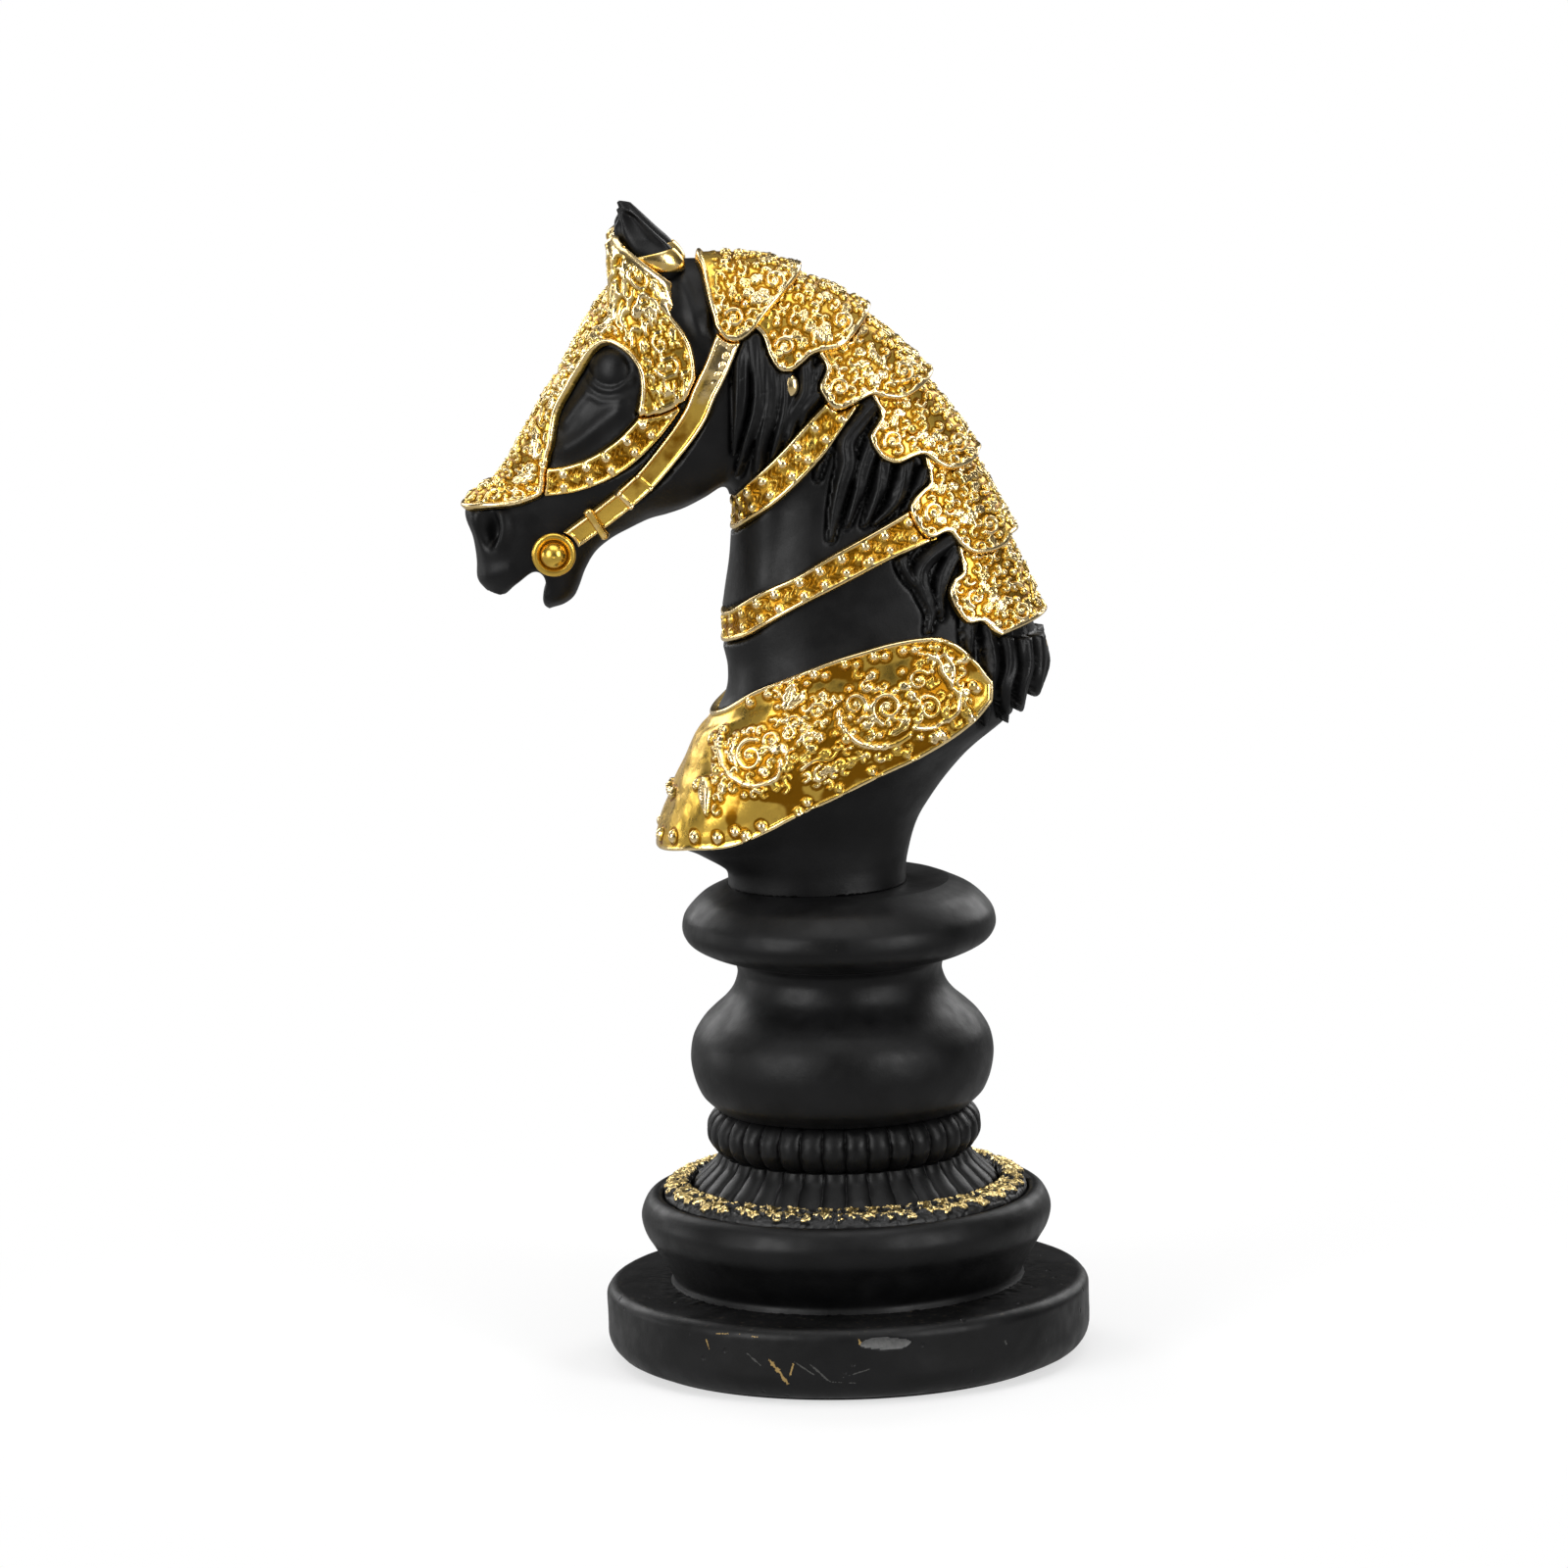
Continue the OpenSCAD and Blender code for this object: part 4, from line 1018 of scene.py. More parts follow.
def evened(co, faces, fixed, rounds=12):
    """Points smoothed over the mesh, all but the fixed ones."""
    quads = np.array([f for f in faces if len(f) == 4])
    edges = np.unique(np.sort(np.vstack([quads[:, [i, (i + 1) % 4]] for i in range(4)]), axis=1), axis=0)
    count = np.maximum(np.bincount(edges.ravel(), minlength=len(co)), 1)[:, None]
    for _ in range(rounds):
        total = np.zeros_like(co)
        np.add.at(total, edges[:, 0], co[edges[:, 1]])
        np.add.at(total, edges[:, 1], co[edges[:, 0]])
        co = np.where(fixed[:, None], co, total / count)
    return co


def mane_height(xz):
    """Height of the mane over the neck: tapering locks with fine strands, and a groove along each side."""
    total, groove = np.zeros(len(xz)), np.zeros(len(xz))
    for n, (line, half) in enumerate(LOCKS):
        near = np.all((xz > np.min(line, 0) - 4) & (xz < np.max(line, 0) + 4), axis=1)
        at, _, across, d, length = line_field(xz[near], line)
        k, across = at / length, np.sign(across) * d
        width = half * (0.3 + 0.7 * np.clip((1 - k) / 0.5, 0, 1) ** 0.8)
        strands = 0.2 * np.cos(across * TURN / 1.9 + n + 3.0 * np.sin(3 * k + n))
        strands += 0.05 * np.cos(across * TURN / 0.8 + 5 * k)
        height = dome(d, width) ** 0.9 * (2.6 + 1.5 * strands) * (0.6 + 0.4 * np.clip((1 - k) / 0.4, 0, 1))
        total[near] = np.maximum(total[near], height)
        groove[near] = np.maximum(groove[near], np.exp(-((d - width) / 0.6) ** 2) * smooth(k, 0.0, 0.1))
    return np.where(total > 0.05, total, -groove)


def ridge(xz, line, half, height):
    at, _, _, d, length = line_field(xz, line)
    k = at / length
    return height * np.exp(-(d / half) ** 2) * np.clip(np.minimum(k, 1 - k) / 0.18, 0, 1)


def bump(xz, centre, along, across, angle, height, flat):
    """Soft oval bump in the side view."""
    a = math.radians(angle)
    x, z = (xz - np.array(centre)).T
    u, v = x * math.cos(a) + z * math.sin(a), z * math.cos(a) - x * math.sin(a)
    return height * np.exp(-((u / along) ** 2 + (v / across) ** 2) ** (flat / 2))


def face_height(xz, side):
    """Modelling of the horse's head over the plain skin; side is 1 where the skin faces sideways."""
    h = 1.5 * dome(np.hypot(xz[:, 0] - EYE[0], (xz[:, 1] - EYE[1]) * 1.08), 4.4) ** 1.6
    h += sum(ridge(xz, np.add(line, EYE), half, height) for line, half, height in LIDS)
    h += sum(ridge(xz, *row) for row in RIDGES) + sum(bump(xz, *row) for row in BUMPS)
    return h * smooth(side, 0.35, 0.75) + sum(bump(xz, *row) for row in NOSE_BUMPS)


def plate_cover(xz, s, t):
    """About how many millimetres inside the edge of a plate or strap each point of the bust is."""
    fields = [outline_depth(xz, outline) for outline in LAME_OUTLINES]
    fields += [strap_field(xz, strap)[0] for strap in (EYE_STRAP, CHEEK_STRAP)]
    fields.append(np.minimum(outline_depth(xz, CHANFRON_OUTLINE), -outline_depth(xz, EYE_OPENING)))
    fields += [girdle_cover(s, t, edges) for edges in (BAND_UPPER, BAND_LOWER, PEYTRAL)]
    return np.maximum.reduce(fields)


def girdle_cover(s, t, edges):
    phi = 180 - t
    depth = 9.0 * np.minimum(s - table(phi, edges, 1), table(phi, edges, 2) - s)
    return np.where(phi < edges[-1][0], depth, -9.0)


def rebate(s, t):
    """Depth of the seats at the throat for the two bands and for the breast plate's upper edge."""
    bands = sum(2.0 * smooth(girdle_cover(s, t, edges), -0.9, 0.1) for edges in (BAND_UPPER, BAND_LOWER))
    upper = np.clip(9.0 * (table(180 - t, PEYTRAL, 2) - s), -9, 30)
    return (bands + 1.5 * smooth(upper, -0.9, 0.1) * smooth(upper, 7.5, 1.5)) * throat(t)


def make_bust():
    co, faces = remeshed_bust(finer(0.48))
    flip = np.where(co[:, 1:2] < 0, [[1.0, -1.0, 1.0]], 1.0)
    right = co * flip
    i = np.array([SKIN_TREE.find(p)[1] for p in right])
    s, t, normal = LATTICE_S[i], LATTICE_T[i], LATTICE_N[i]
    gap = ((right - LATTICE[i]) * normal).sum(1)
    xz = side_view(co)
    on_skin = (np.abs(gap) < 0.5) & (outline_depth(xz, MOUTH) < -1.0)
    co = evened(np.where(on_skin[:, None], right - normal * gap[:, None], right) * flip, faces, on_skin)
    side = np.abs(normal[:, 1])
    crest = (xz[:, 0] > 28) & (xz[:, 1] < 161)
    mane = mane_height(xz) * smooth(side, np.where(crest, -0.2, 0.05), np.where(crest, 0.3, 0.4))
    height = face_height(xz, side) + mane + (value_noise(co, 7.0, 61) - 0.5) * 0.30
    high = np.flatnonzero(on_skin & (height > 0.12))
    cover = plate_cover(xz[high], s[high], t[high])
    height[high] = np.minimum(height[high], mix(4.0, 0.12, smooth(cover, -0.9, 0.1)))
    height = (height - rebate(s, t)) * on_skin * smooth(co[:, 2], 103.0, 106.0)
    return add_mesh("bust", co + normal * flip * height[:, None], faces, BLACK, "black_resin")


# ---------------------------------------------------------------- ears

# From the root to the tip: x, y, z, half length and half thickness.
EAR_RIBS = [[-35.6, 5.6, 234.8, 4.6, 2.6], [-35.8, 5.7, 238.0, 6.1, 3.0], [-37.4, 5.8, 241.6, 5.9, 2.8],
            [-39.2, 5.9, 244.8, 4.1, 2.2], [-40.6, 5.9, 247.4, 2.6, 1.5], [-41.4, 5.8, 249.2, 1.3, 0.8]]
EAR_LEAN = math.radians(10)


def mirror(points, sign):
    """Points as they are for sign 1, on the other side for sign -1."""
    return points * np.array([1, sign, 1])


def ear_point(s, a, grow):
    r = spline(EAR_RIBS, s)
    reach = (r[..., 3] + grow) * np.cos(a)
    x, z = r[..., 0] + reach * math.cos(EAR_LEAN), r[..., 2] - reach * math.sin(EAR_LEAN)
    return np.stack([x, r[..., 1] + (r[..., 4] + grow) * np.sin(a), z], -1)


def make_ear(side):
    """Pointed ear, hollow on its outer face, with a folded front edge."""
    s, a = rows_and_columns(np.linspace(0, 5, 80), circle(120))
    turn = np.mod(a + math.pi / 2, TURN) - math.pi
    hollow = 1.7 * np.exp(-((turn + 0.25) / 0.62) ** 2) * smooth(s, 1.2, 2.4) * smooth(s, 4.9, 4.0)
    fold = 0.4 * np.exp(-((turn - 0.55) / 0.22) ** 2) * smooth(s, 1.0, 2.0) * smooth(s, 4.9, 4.0)
    notch = 0.5 * np.sin(s * 2.7 + 0.6) * np.clip(-np.cos(a), 0, 1) ** 2
    notch *= smooth(s, 1.4, 2.2) * smooth(s, 5.0, 4.5)
    p = ear_point(s, a, fold + notch)
    p[..., 1] -= hollow
    verts = mirror(p.reshape(-1, 3), SIDES[side])
    return add_mesh("ear_" + side, verts, capped_faces(*s.shape), BLACK, "black_resin")


def make_ear_band(side):
    """Rolled band round the root of the ear, higher at the back."""
    k, a = rows_and_columns(circle(24), circle(96))
    p = ear_point(0.95 + 0.42 * np.cos(a) + (0.52 + 0.2 * np.cos(a)) * np.cos(k), a, 0.55 + 0.45 * np.sin(k))
    # The level 0.8 paints the band pale, a painted highlight.
    return add_gold("ear_band_" + side, mirror(p.reshape(-1, 3), SIDES[side]), ring_faces(*k.shape), 0.8)


# ---------------------------------------------------------------- barding: outlines in the side view

CHANFRON_OUTLINE = [
    (-33.6, 242.0), (-33.0, 234.4), (-33.1, 230.6), (-32.2, 227.6), (-29.7, 224.3), (-28.0, 221.0),
    (-27.2, 217.0), (-27.4, 213.0), (-29.0, 210.0), (-31.8, 208.0), (-35.6, 206.6), (-39.6, 206.4),
    (-46.0, 207.6), (-52.6, 203.0), (-57.6, 198.0), (-59.2, 194.6), (-59.6, 191.4), (-60.6, 188.9),
    (-64.2, 187.3), (-70.0, 186.0), (-78, 184.6), (-88, 184.6), (-88, 200), (-62, 236), (-46, 250)]
EYE_OPENING = [
    (-45.4, 221.3), (-41.9, 219.6), (-39.6, 216.4), (-39.0, 213.2), (-39.3, 209.8), (-40.2, 206.9),
    (-42.8, 203.0), (-46.8, 199.8), (-52.3, 197.4), (-58.3, 196.3), (-57.6, 200.3), (-56.4, 206.5),
    (-53.8, 211.4), (-51.1, 215.9), (-48.4, 219.7)]
# Straps: middle line, and half the width at its start and end.
EYE_STRAP = ([(-60.2, 191.9), (-54.1, 192.9), (-48.2, 195.2), (-42.9, 198.6), (-38.9, 202.3), (-35.4, 206.4),
              (-33.0, 209.6)], 3.0, 3.2)
CHEEK_STRAP = ([(-19.0, 225.0), (-20.8, 220.6), (-23.0, 215.6), (-25.6, 210.7), (-27.4, 206.6),
                (-30.2, 202.4),
                (-33.8, 198.0), (-38.0, 193.2), (-41.4, 190.0), (-45.2, 186.8), (-48.9, 183.9), (-52.8,
                                                                                                 181.0),
                (-56.6, 178.2)], 2.9, 2.2)
BIT = (-58.3, 176.7)
BOSS_R = 4.7
SEAM = 0.12


def strap_field(xz, strap):
    """How far inside a strap's edge each place is, where along and across it, and the half width."""
    line, half0, half1 = strap
    at, past, across, _, length = line_field(xz, line)
    along = at + past
    half = mix(half0, half1, np.clip(along / length, 0, 1))
    return np.minimum(half - np.abs(across), np.minimum(along, length - along) + 0.01), along, across, half


def cells_relief(along, across, half, seed, pitch=5.2):
    """Strap ornament: two beads side by side, then a sunk square with a lump in it, again and again."""
    cell = np.floor(along / pitch + 0.5)
    phase = along - cell * pitch + 0.35 * np.sin(cell * 2.4 + seed)
    beads = np.maximum(dome(np.hypot(phase - 0.3, across - half * 0.42), 1.1),
                       dome(np.hypot(phase + 0.2, across + half * 0.42), 1.0))
    away = np.abs(phase)
    square = smooth(away, 1.25, 1.55) * smooth(np.abs(across), half * 0.72, half * 0.6)
    lump = smooth(np.sin(cell * 5.1 + seed * 3), 0.0, 0.4) * 0.5
    lump = lump * dome(np.hypot((pitch / 2 - away) * 0.9, across), 1.1)
    grain = 0.5 * np.abs(np.sin(along * 2.3 + 1.7 * np.sin(across * 2.1 + seed))) * square
    # dark: painted shade in the sunk squares and round the beads.
    dark = np.maximum(square * (1 - grain), smooth(beads, 0.35, 0.0) * 0.45)
    return beads - 0.45 * square + lump + grain, dark * (1 - beads) * (1 - lump)


def worked(rows):
    """Ornament from rows of place, the function that makes it, and what that function takes."""
    return np.vstack([lay(place, make(*rest)) for place, make, *rest in rows])


CHANFRON_WORK = [
    ((-33.0, 216.6), scroll, 0, 0, 2.8, 200, 1.5, 1, 0.64, 1.0),
    ((-33.0, 216.6), scroll, -0.6, -4.6, 1.9, 20, 1.4, -1, 0.55, 0.9),
    ((-33.0, 216.6), scroll, -1.6, 4.4, 1.9, 90, 1.3, 1, 0.52, 0.9),
    ((-37.0, 226.0), scroll, -1.0, 3.2, 1.6, 200, 1.3, 1, 0.5, 0.9),
    ((-37.0, 226.0), leaf, [(-2.4, -1.0), (0, 0.6), (2.6, 0.2)], 1.4, 0.95, 3),
    ((-43.0, 226.6), leaf, [(-2.2, -1.6), (0, 0.2), (2.0, 2.2)], 1.3, 0.95, 3),
    ((-60.5, 200.0), leaf, [(-0.4, -3.4), (0.2, 0), (0.6, 3.4)], 1.3, 0.9, 3),
    ((-63.0, 192.4), leaf, [(-2.6, -0.8), (0, 0.3), (2.6, 0.8)], 1.3, 0.9, 3)]
# The hollow of the face plate round each ear: centre x and y, half length and half width.
EAR_SEAT = (-35.6, 5.7, 6.0, 3.8)
WING_REACH = 12.0


def ear_seat(p):
    """Distance from the middle of an ear's root, 1 at the edge of the face plate's hollow."""
    cx, cy, rx, ry = EAR_SEAT
    return np.hypot((p[:, 0] - cx) / rx, (np.abs(p[:, 1]) - cy) / ry)


def wing_height(base):
    """Height of the wing round the front and outer side of each ear; it falls off faster to the front."""
    rho = ear_seat(base)
    front = np.clip((EAR_SEAT[0] - base[:, 0]) / EAR_SEAT[2] / rho, 0, 1) ** 2
    fade = smooth(rho / mix(1.0, 0.68, front), 2.1, mix(1.0, 1.45, front))
    rise = np.clip((-32.8 - base[:, 0]) / 9.8, 0, 1) ** 0.8
    return WING_REACH * rise * fade * smooth(np.abs(base[:, 1]), 3.0, 6.6)


def chanfron_bend(base):
    """Wings that stand up in front of the ears, and the lip turned out over the nose."""
    wing = wing_height(base)
    crown = smooth(base[:, 2], 190.5, 187.0) * smooth(base[:, 0], -64.0, -72.5)
    lip = smooth(base[:, 2], 190.0, 186.5) * smooth(base[:, 0], -56.0, -64.0)
    out = np.sign(base[:, 1]) * (0.7 * lip + 0.14 * wing)
    return np.stack([-2.2 * crown - 0.018 * wing ** 2, out, wing + 0.4 * crown], -1)


def make_chanfron():
    """Face plate with its wings, eye openings and scrollwork."""
    params, tris = grid((15.1, 24.1), (-112, 112), finer(0.3), lambda s: smooth(s, 18.4, 17.6),
                        lambda t: smooth(np.abs(t), 8, 14) * smooth(np.abs(t), 62, 54))
    p = middle(params)
    xz = side_view(p)
    field = np.minimum.reduce([outline_depth(xz, CHANFRON_OUTLINE), -outline_depth(xz, EYE_OPENING),
                               -strap_field(xz, CHEEK_STRAP)[0] - SEAM, (ear_seat(p) - 1) * EAR_SEAT[3]])
    params, tris = largest(*clip(params, tris, field))
    main = moved(worked(CHANFRON_WORK), chanfron_bend)
    domes = np.vstack([main, fill(one_side(params), 2.1, 31, 1.0, 0.8, main, bend=chanfron_bend)])

    def relief(q, d):
        base = skin(*params.T)
        wing = smooth(wing_height(base), 0.8, 2.5)
        base = base + chanfron_bend(base)
        inner = smooth(d, mix(1.1, 1.9, wing), mix(1.6, 2.6, wing))
        double = rim(np.abs(outline_depth(side_view(q), EYE_OPENING)), 0.8, 0.35, 1.5) * smooth(q[:, 0], -51,
                                                                                                -53)
        # Second value: painted shade round the raised work.
        return stamp(base, domes) * inner + rim(d, mix(1.3, 2.3, wing), 0.8) + double, halo(base,
                                                                                            domes) * inner

    return shell("chanfron", params, tris, relief, bend=chanfron_bend)


def make_eye_strap(side):
    params, tris = grid((15.6, 22.1), (44, 134), finer(0.25))
    xz = side_view(middle(params))
    plate, opening = outline_depth(xz, CHANFRON_OUTLINE) + SEAM, outline_depth(xz, EYE_OPENING)
    plate = np.where(opening > -0.3, np.minimum(plate, opening), plate)
    field = np.minimum.reduce([strap_field(xz, EYE_STRAP)[0], -strap_field(xz, CHEEK_STRAP)[0] - SEAM, -plate,
                               -opening])
    params, tris = largest(*clip(params, tris, field))

    def relief(q, d):
        _, along, across, half = strap_field(side_view(q), EYE_STRAP)
        raised, dark = cells_relief(along + 1.0, across, half, 1, 5.4)
        inner = smooth(d, 0.7, 1.1)
        return raised * inner + rim(d, 1.1, 0.5), dark * inner

    return shell("eye_strap_" + side, params, tris, relief, flip=-SIDES["left"] * SIDES[side])


def make_cheek_strap(side):
    """Strap from the poll to the bit: beaded at its start, with a painted highlight on its upper part, then a
    hollow with patchy painted shade, and two keepers.
    """
    params, tris = grid((13.6, 22.6), (54, 142), finer(0.26))
    xz = side_view(middle(params))
    off_boss = np.hypot(*(xz - BIT).T) - BOSS_R - 0.25
    off_lame = -outline_depth(xz, LAME_OUTLINES[0]) - 0.15
    params, tris = clip(params, tris, np.minimum.reduce([strap_field(xz, CHEEK_STRAP)[0], off_boss,
                                                         off_lame]))

    def relief(q, d):
        _, along, across, half = strap_field(side_view(q), CHEEK_STRAP)
        keepers = 0.6 * dome(along - 44.3, 0.6) + 0.35 * dome(along - 38.6, 0.4)
        beads = 0.65 * dome(np.hypot(np.mod(along + 0.8, 2.1) - 1.05, across - half * 0.3), 0.62)
        hollow = smooth(along, 10, 13) * smooth(along, 43, 40) * smooth(np.abs(across), half * 0.75,
                                                                        half * 0.4)
        # The upper part gets a painted highlight as well as a swell.
        top_highlight = smooth(along, 27, 15)
        swell = 0.5 * top_highlight * dome(across - 0.5, half)
        patchy_shade = smooth(value_noise(q, 3.0, 77), 0.45, 0.7)
        raised = rim(d, 1.0, 0.5) + keepers + beads * smooth(along, 13.5, 11.5) + swell - 0.22 * hollow
        # Second value: patchy painted shade in the hollow, lifted by the painted highlight on the upper part.
        return raised, 0.35 * hollow * patchy_shade - 0.2 * top_highlight - 0.12

    return shell("cheek_strap_" + side, params, tris, relief, flip=-SIDES["left"] * SIDES[side])


# ---------------------------------------------------------------- the six lames down the crest

LAME_TIPS = [(-25.9, 239.2), (-4.6, 234.9), (10.0, 226.4), (22.9, 212.2), (32.0, 195.0), (38.4, 177.5),
             (44.2, 158.5)]
LAME_RIBS = [(12.7, 15.4), (11.4, 14.3), (10.3, 13.2), (9.3, 12.1), (8.2, 11.2), (6.5, 10.1)]
LAME_LIFT = THICK + 0.8
LAME_OUTLINES = [
    [(-2.6, 241), (-4.6, 234.8), (-8.0, 231.0), (-11.6, 227.4), (-14.8, 223.6), (-17.6, 221.6),
     (-20.6, 221.8),
     (-22.8, 224.2), (-23.6, 227.0), (-24.6, 230.4), (-25.6, 235), (-26.6, 244)],
    [(14, 231), (10, 226.3), (8.6, 224.4), (5.9, 221.4), (3.2, 219.3), (-2.0, 218.4), (-4.6, 216.6),
     (-7, 215.0),
     (-9.8, 215.2), (-11.9, 218.2), (-13.2, 222.1), (-16, 226.6), (-10.2, 235), (-8, 244)],
    [(28, 216), (22.9, 212.2), (21.5, 210.8), (18.8, 209), (15.6, 207.9), (12.4, 208.4), (9.8, 209.2),
     (7.1, 208.2), (3.3, 206.7), (1.2, 207), (-0.8, 209.5), (-1.6, 211.7), (-0.2, 215.3), (-1.6, 218.2),
     (-1, 220.4), (5.6, 225), (8.2, 235)],
    [(39, 197), (32, 195.1), (31.1, 194), (29, 193), (25.8, 192.7), (23.1, 193.8), (20.5, 196), (18.4, 196),
     (15.2, 194.9), (13.1, 195.1), (10.5, 196.8), (8.7, 200.7), (10.1, 203.2), (11, 205.2), (9.7, 207.9),
     (9.4, 210.4), (18, 212.6), (26, 219)],
    [(45, 178), (38.4, 177.5), (36.7, 175.7), (33.7, 174.9), (30.1, 175.1), (27.2, 177.1), (24.9, 179.8),
     (21.9, 179), (20.1, 179.5), (17.8, 182.4), (16.8, 186.1), (19.1, 189), (20.8, 190.6), (20.2, 194.8),
     (19.6, 197.6), (29, 197.2), (37, 201)],
    [(50, 158.6), (44.2, 158.4), (43.4, 156.4), (40.4, 156.2), (36.8, 156.8), (33.8, 158.5), (31.5, 160.7),
     (28.5, 160.8), (26.2, 163.5), (24.6, 167.2), (25.5, 170.1), (27.4, 171.7), (26.5, 175.9), (26.2, 180.2),
     (35, 179), (43, 181)]]
# Middles of each lame's side lobe and of its lobe by the crest, in the side view.
LAME_LOBES = [((-19.0, 225.8), (-11.5, 232.0)), ((-8.3, 219.8), (2.2, 223.6)), ((2.6, 210.8), (14.5, 212.6)),
              ((13.2, 199.4), (25.2, 197.6)), ((21.4, 184.0), (31.4, 180.4)), ((29.4, 165.6), (37.6, 162.0))]


def lame_rise(k, points):
    """Stand-off of a lame: none at its upper edge, most at its lower tip."""
    start, end = np.array(LAME_TIPS[k]), np.array(LAME_TIPS[k + 1])
    way = end - start
    return LAME_LIFT * np.clip((side_view(points) - start) @ way / (way @ way), 0, 1)


def fan(start, angles, size):
    """Leaves that spread from one point."""
    leaves, sway = [], 0.35
    for way in (np.array([math.cos(a), math.sin(a)]) for a in np.radians(angles)):
        knee = start + 0.55 * size * way + sway * np.array([-way[1], way[0]])
        leaves.append(leaf([start + 0.6 * way, knee, start + size * way], 1.0, 0.95, 2))
        sway = -sway
    return np.vstack(leaves)


def make_lame(k):
    """One lame: its plate, two scrolls, a fan of leaves and close filling."""
    params, tris = grid(LAME_RIBS[k], (-95, 95), finer(0.24))
    places = middle(params, lame_rise(k, skin(*params.T)))
    params, tris = largest(*clip(params, tris, outline_depth(side_view(places), LAME_OUTLINES[k])))
    base = skin(*params.T)
    side, top = np.array(LAME_LOBES[k])
    main = worked([(side, scroll, 0, 0, 2.1, 150 + 20 * k, 1.35, -1, 0.66, 1.0),
                   (top, scroll, 0.4, -0.4, 2.2, 300 - 15 * k, 1.4, 1, 0.62, 1.05),
                   (mix(side, top, 0.55), fan, np.array([0.4, 1.4]), (250, 290, 330, 200), 2.9)])
    domes = np.vstack([main, fill(one_side(params), 2.1, 20 + k, 1.0, 0.8, main)])

    def relief(q, d):
        inner = smooth(d, 0.9, 1.4) * smooth(params[:, 0], LAME_RIBS[k][1] - 0.2, LAME_RIBS[k][1] - 0.5)
        # Second value: painted shade round the raised work.
        return stamp(base, domes) * inner + rim(d, 1.4, 0.8), halo(base, domes) * inner

    return shell(f"crinet_lame_{k + 1}", params, tris, relief, lame_rise(k, base))


# ---------------------------------------------------------------- girdles: turn from throat, lower and upper s

BAND_UPPER = [(0, 11.6, 12.85), (20, 11.62, 12.78), (40, 11.62, 12.68), (60, 11.6, 12.6), (75, 11.66, 12.56),
              (88, 11.76, 12.55), (100, 11.92, 12.52), (110, 12.0, 12.5), (118, 12.06, 12.5)]
BAND_LOWER = [(0, 8.69, 9.58), (20, 8.74, 9.6), (40, 8.8, 9.72), (55, 8.92, 9.8), (70, 9.04, 9.8),
              (85, 9.1, 9.88), (100, 9.16, 9.9), (112, 9.14, 9.92), (124, 9.12, 9.95)]
PEYTRAL = [(0, 2.85, 6.55), (20, 2.86, 6.75), (40, 2.84, 7.2), (60, 2.7, 7.42), (77, 2.92, 7.5),
           (90, 3.34, 7.44),
           (101, 3.74, 7.3), (112, 3.98, 7.06), (119, 4.26, 6.66), (126, 4.66, 6.06), (131, 5.06, 5.56)]


def chart_tables():
    """Arc lengths over the bust: round each rib from the crest, and along each turn from the foot."""
    p = skin(*rows_and_columns(np.arange(0, RIB_LAST + 0.01, 0.05), np.arange(0.0, 181.0, 2.0)))
    across, along = np.zeros(p.shape[:2]), np.zeros(p.shape[:2])
    across[:, 1:] = np.cumsum(np.linalg.norm(np.diff(p, axis=1), axis=2), axis=1)
    along[1:] = np.cumsum(np.linalg.norm(np.diff(p, axis=0), axis=2), axis=0)
    return across, along


ACROSS, ALONG = chart_tables()


def read_table(values, s, t):
    """Value of a chart table at skin places."""
    i, j = np.clip(s / 0.05, 0, values.shape[0] - 1.001), np.clip(t / 2.0, 0, values.shape[1] - 1.001)
    i0, j0 = i.astype(int), j.astype(int)
    low, high = (mix(values[i0, k], values[i0 + 1, k], i - i0) for k in (j0, j0 + 1))
    return mix(low, high, j - j0)


def girdle_patch(edges, step):
    end = edges[-1][0]
    low, high = min(e[1] for e in edges) - 0.05, max(e[2] for e in edges) + 0.05
    return grid((low, high), (180 - end, 180 + end), step)


def girdle_field(params, edges):
    """Millimetres inside the girdle's edges, and below its upper edge alone."""
    s, phi = params[:, 0], np.abs(180 - params[:, 1])
    t = 180 - phi
    low, here, high = (read_table(ALONG, x, t) for x in (table(phi, edges, 1), s, table(phi, edges, 2)))
    ends = read_table(ACROSS, s, t) - read_table(ACROSS, s, np.full(len(t), 180.0 - edges[-1][0]))
    return np.minimum.reduce([high - here, here - low, ends]), high - here


def along_band(params, edges):
    """Where each point of a girdle is along and across it, square to its middle line, and the half width."""
    phi = np.linspace(-edges[-1][0], edges[-1][0], 600)
    line = skin((table(np.abs(phi), edges, 1) + table(np.abs(phi), edges, 2)) / 2, 180 + phi)
    base, at = skin(*params.T), lengths(line)
    _, i = nearest(base, line)
    way = unit(np.gradient(line, axis=0))[i]
    off = base - line[i]
    across = (off * np.cross(skin_normal(*params.T), way)).sum(1)
    half = np.zeros(len(line))
    np.maximum.at(half, i, np.abs(across))
    half = np.convolve(np.pad(half, 12, "edge"), np.ones(25) / 25, "valid")
    return np.abs(at[i] - at[-1] / 2 + (off * way).sum(1)), across, np.maximum(half[i], 1.0)


def throat(turn):
    """1 at the throat, where the girdles lie in a rebate, and 0 on the sides."""
    return smooth(np.abs(180 - turn), 60, 18)


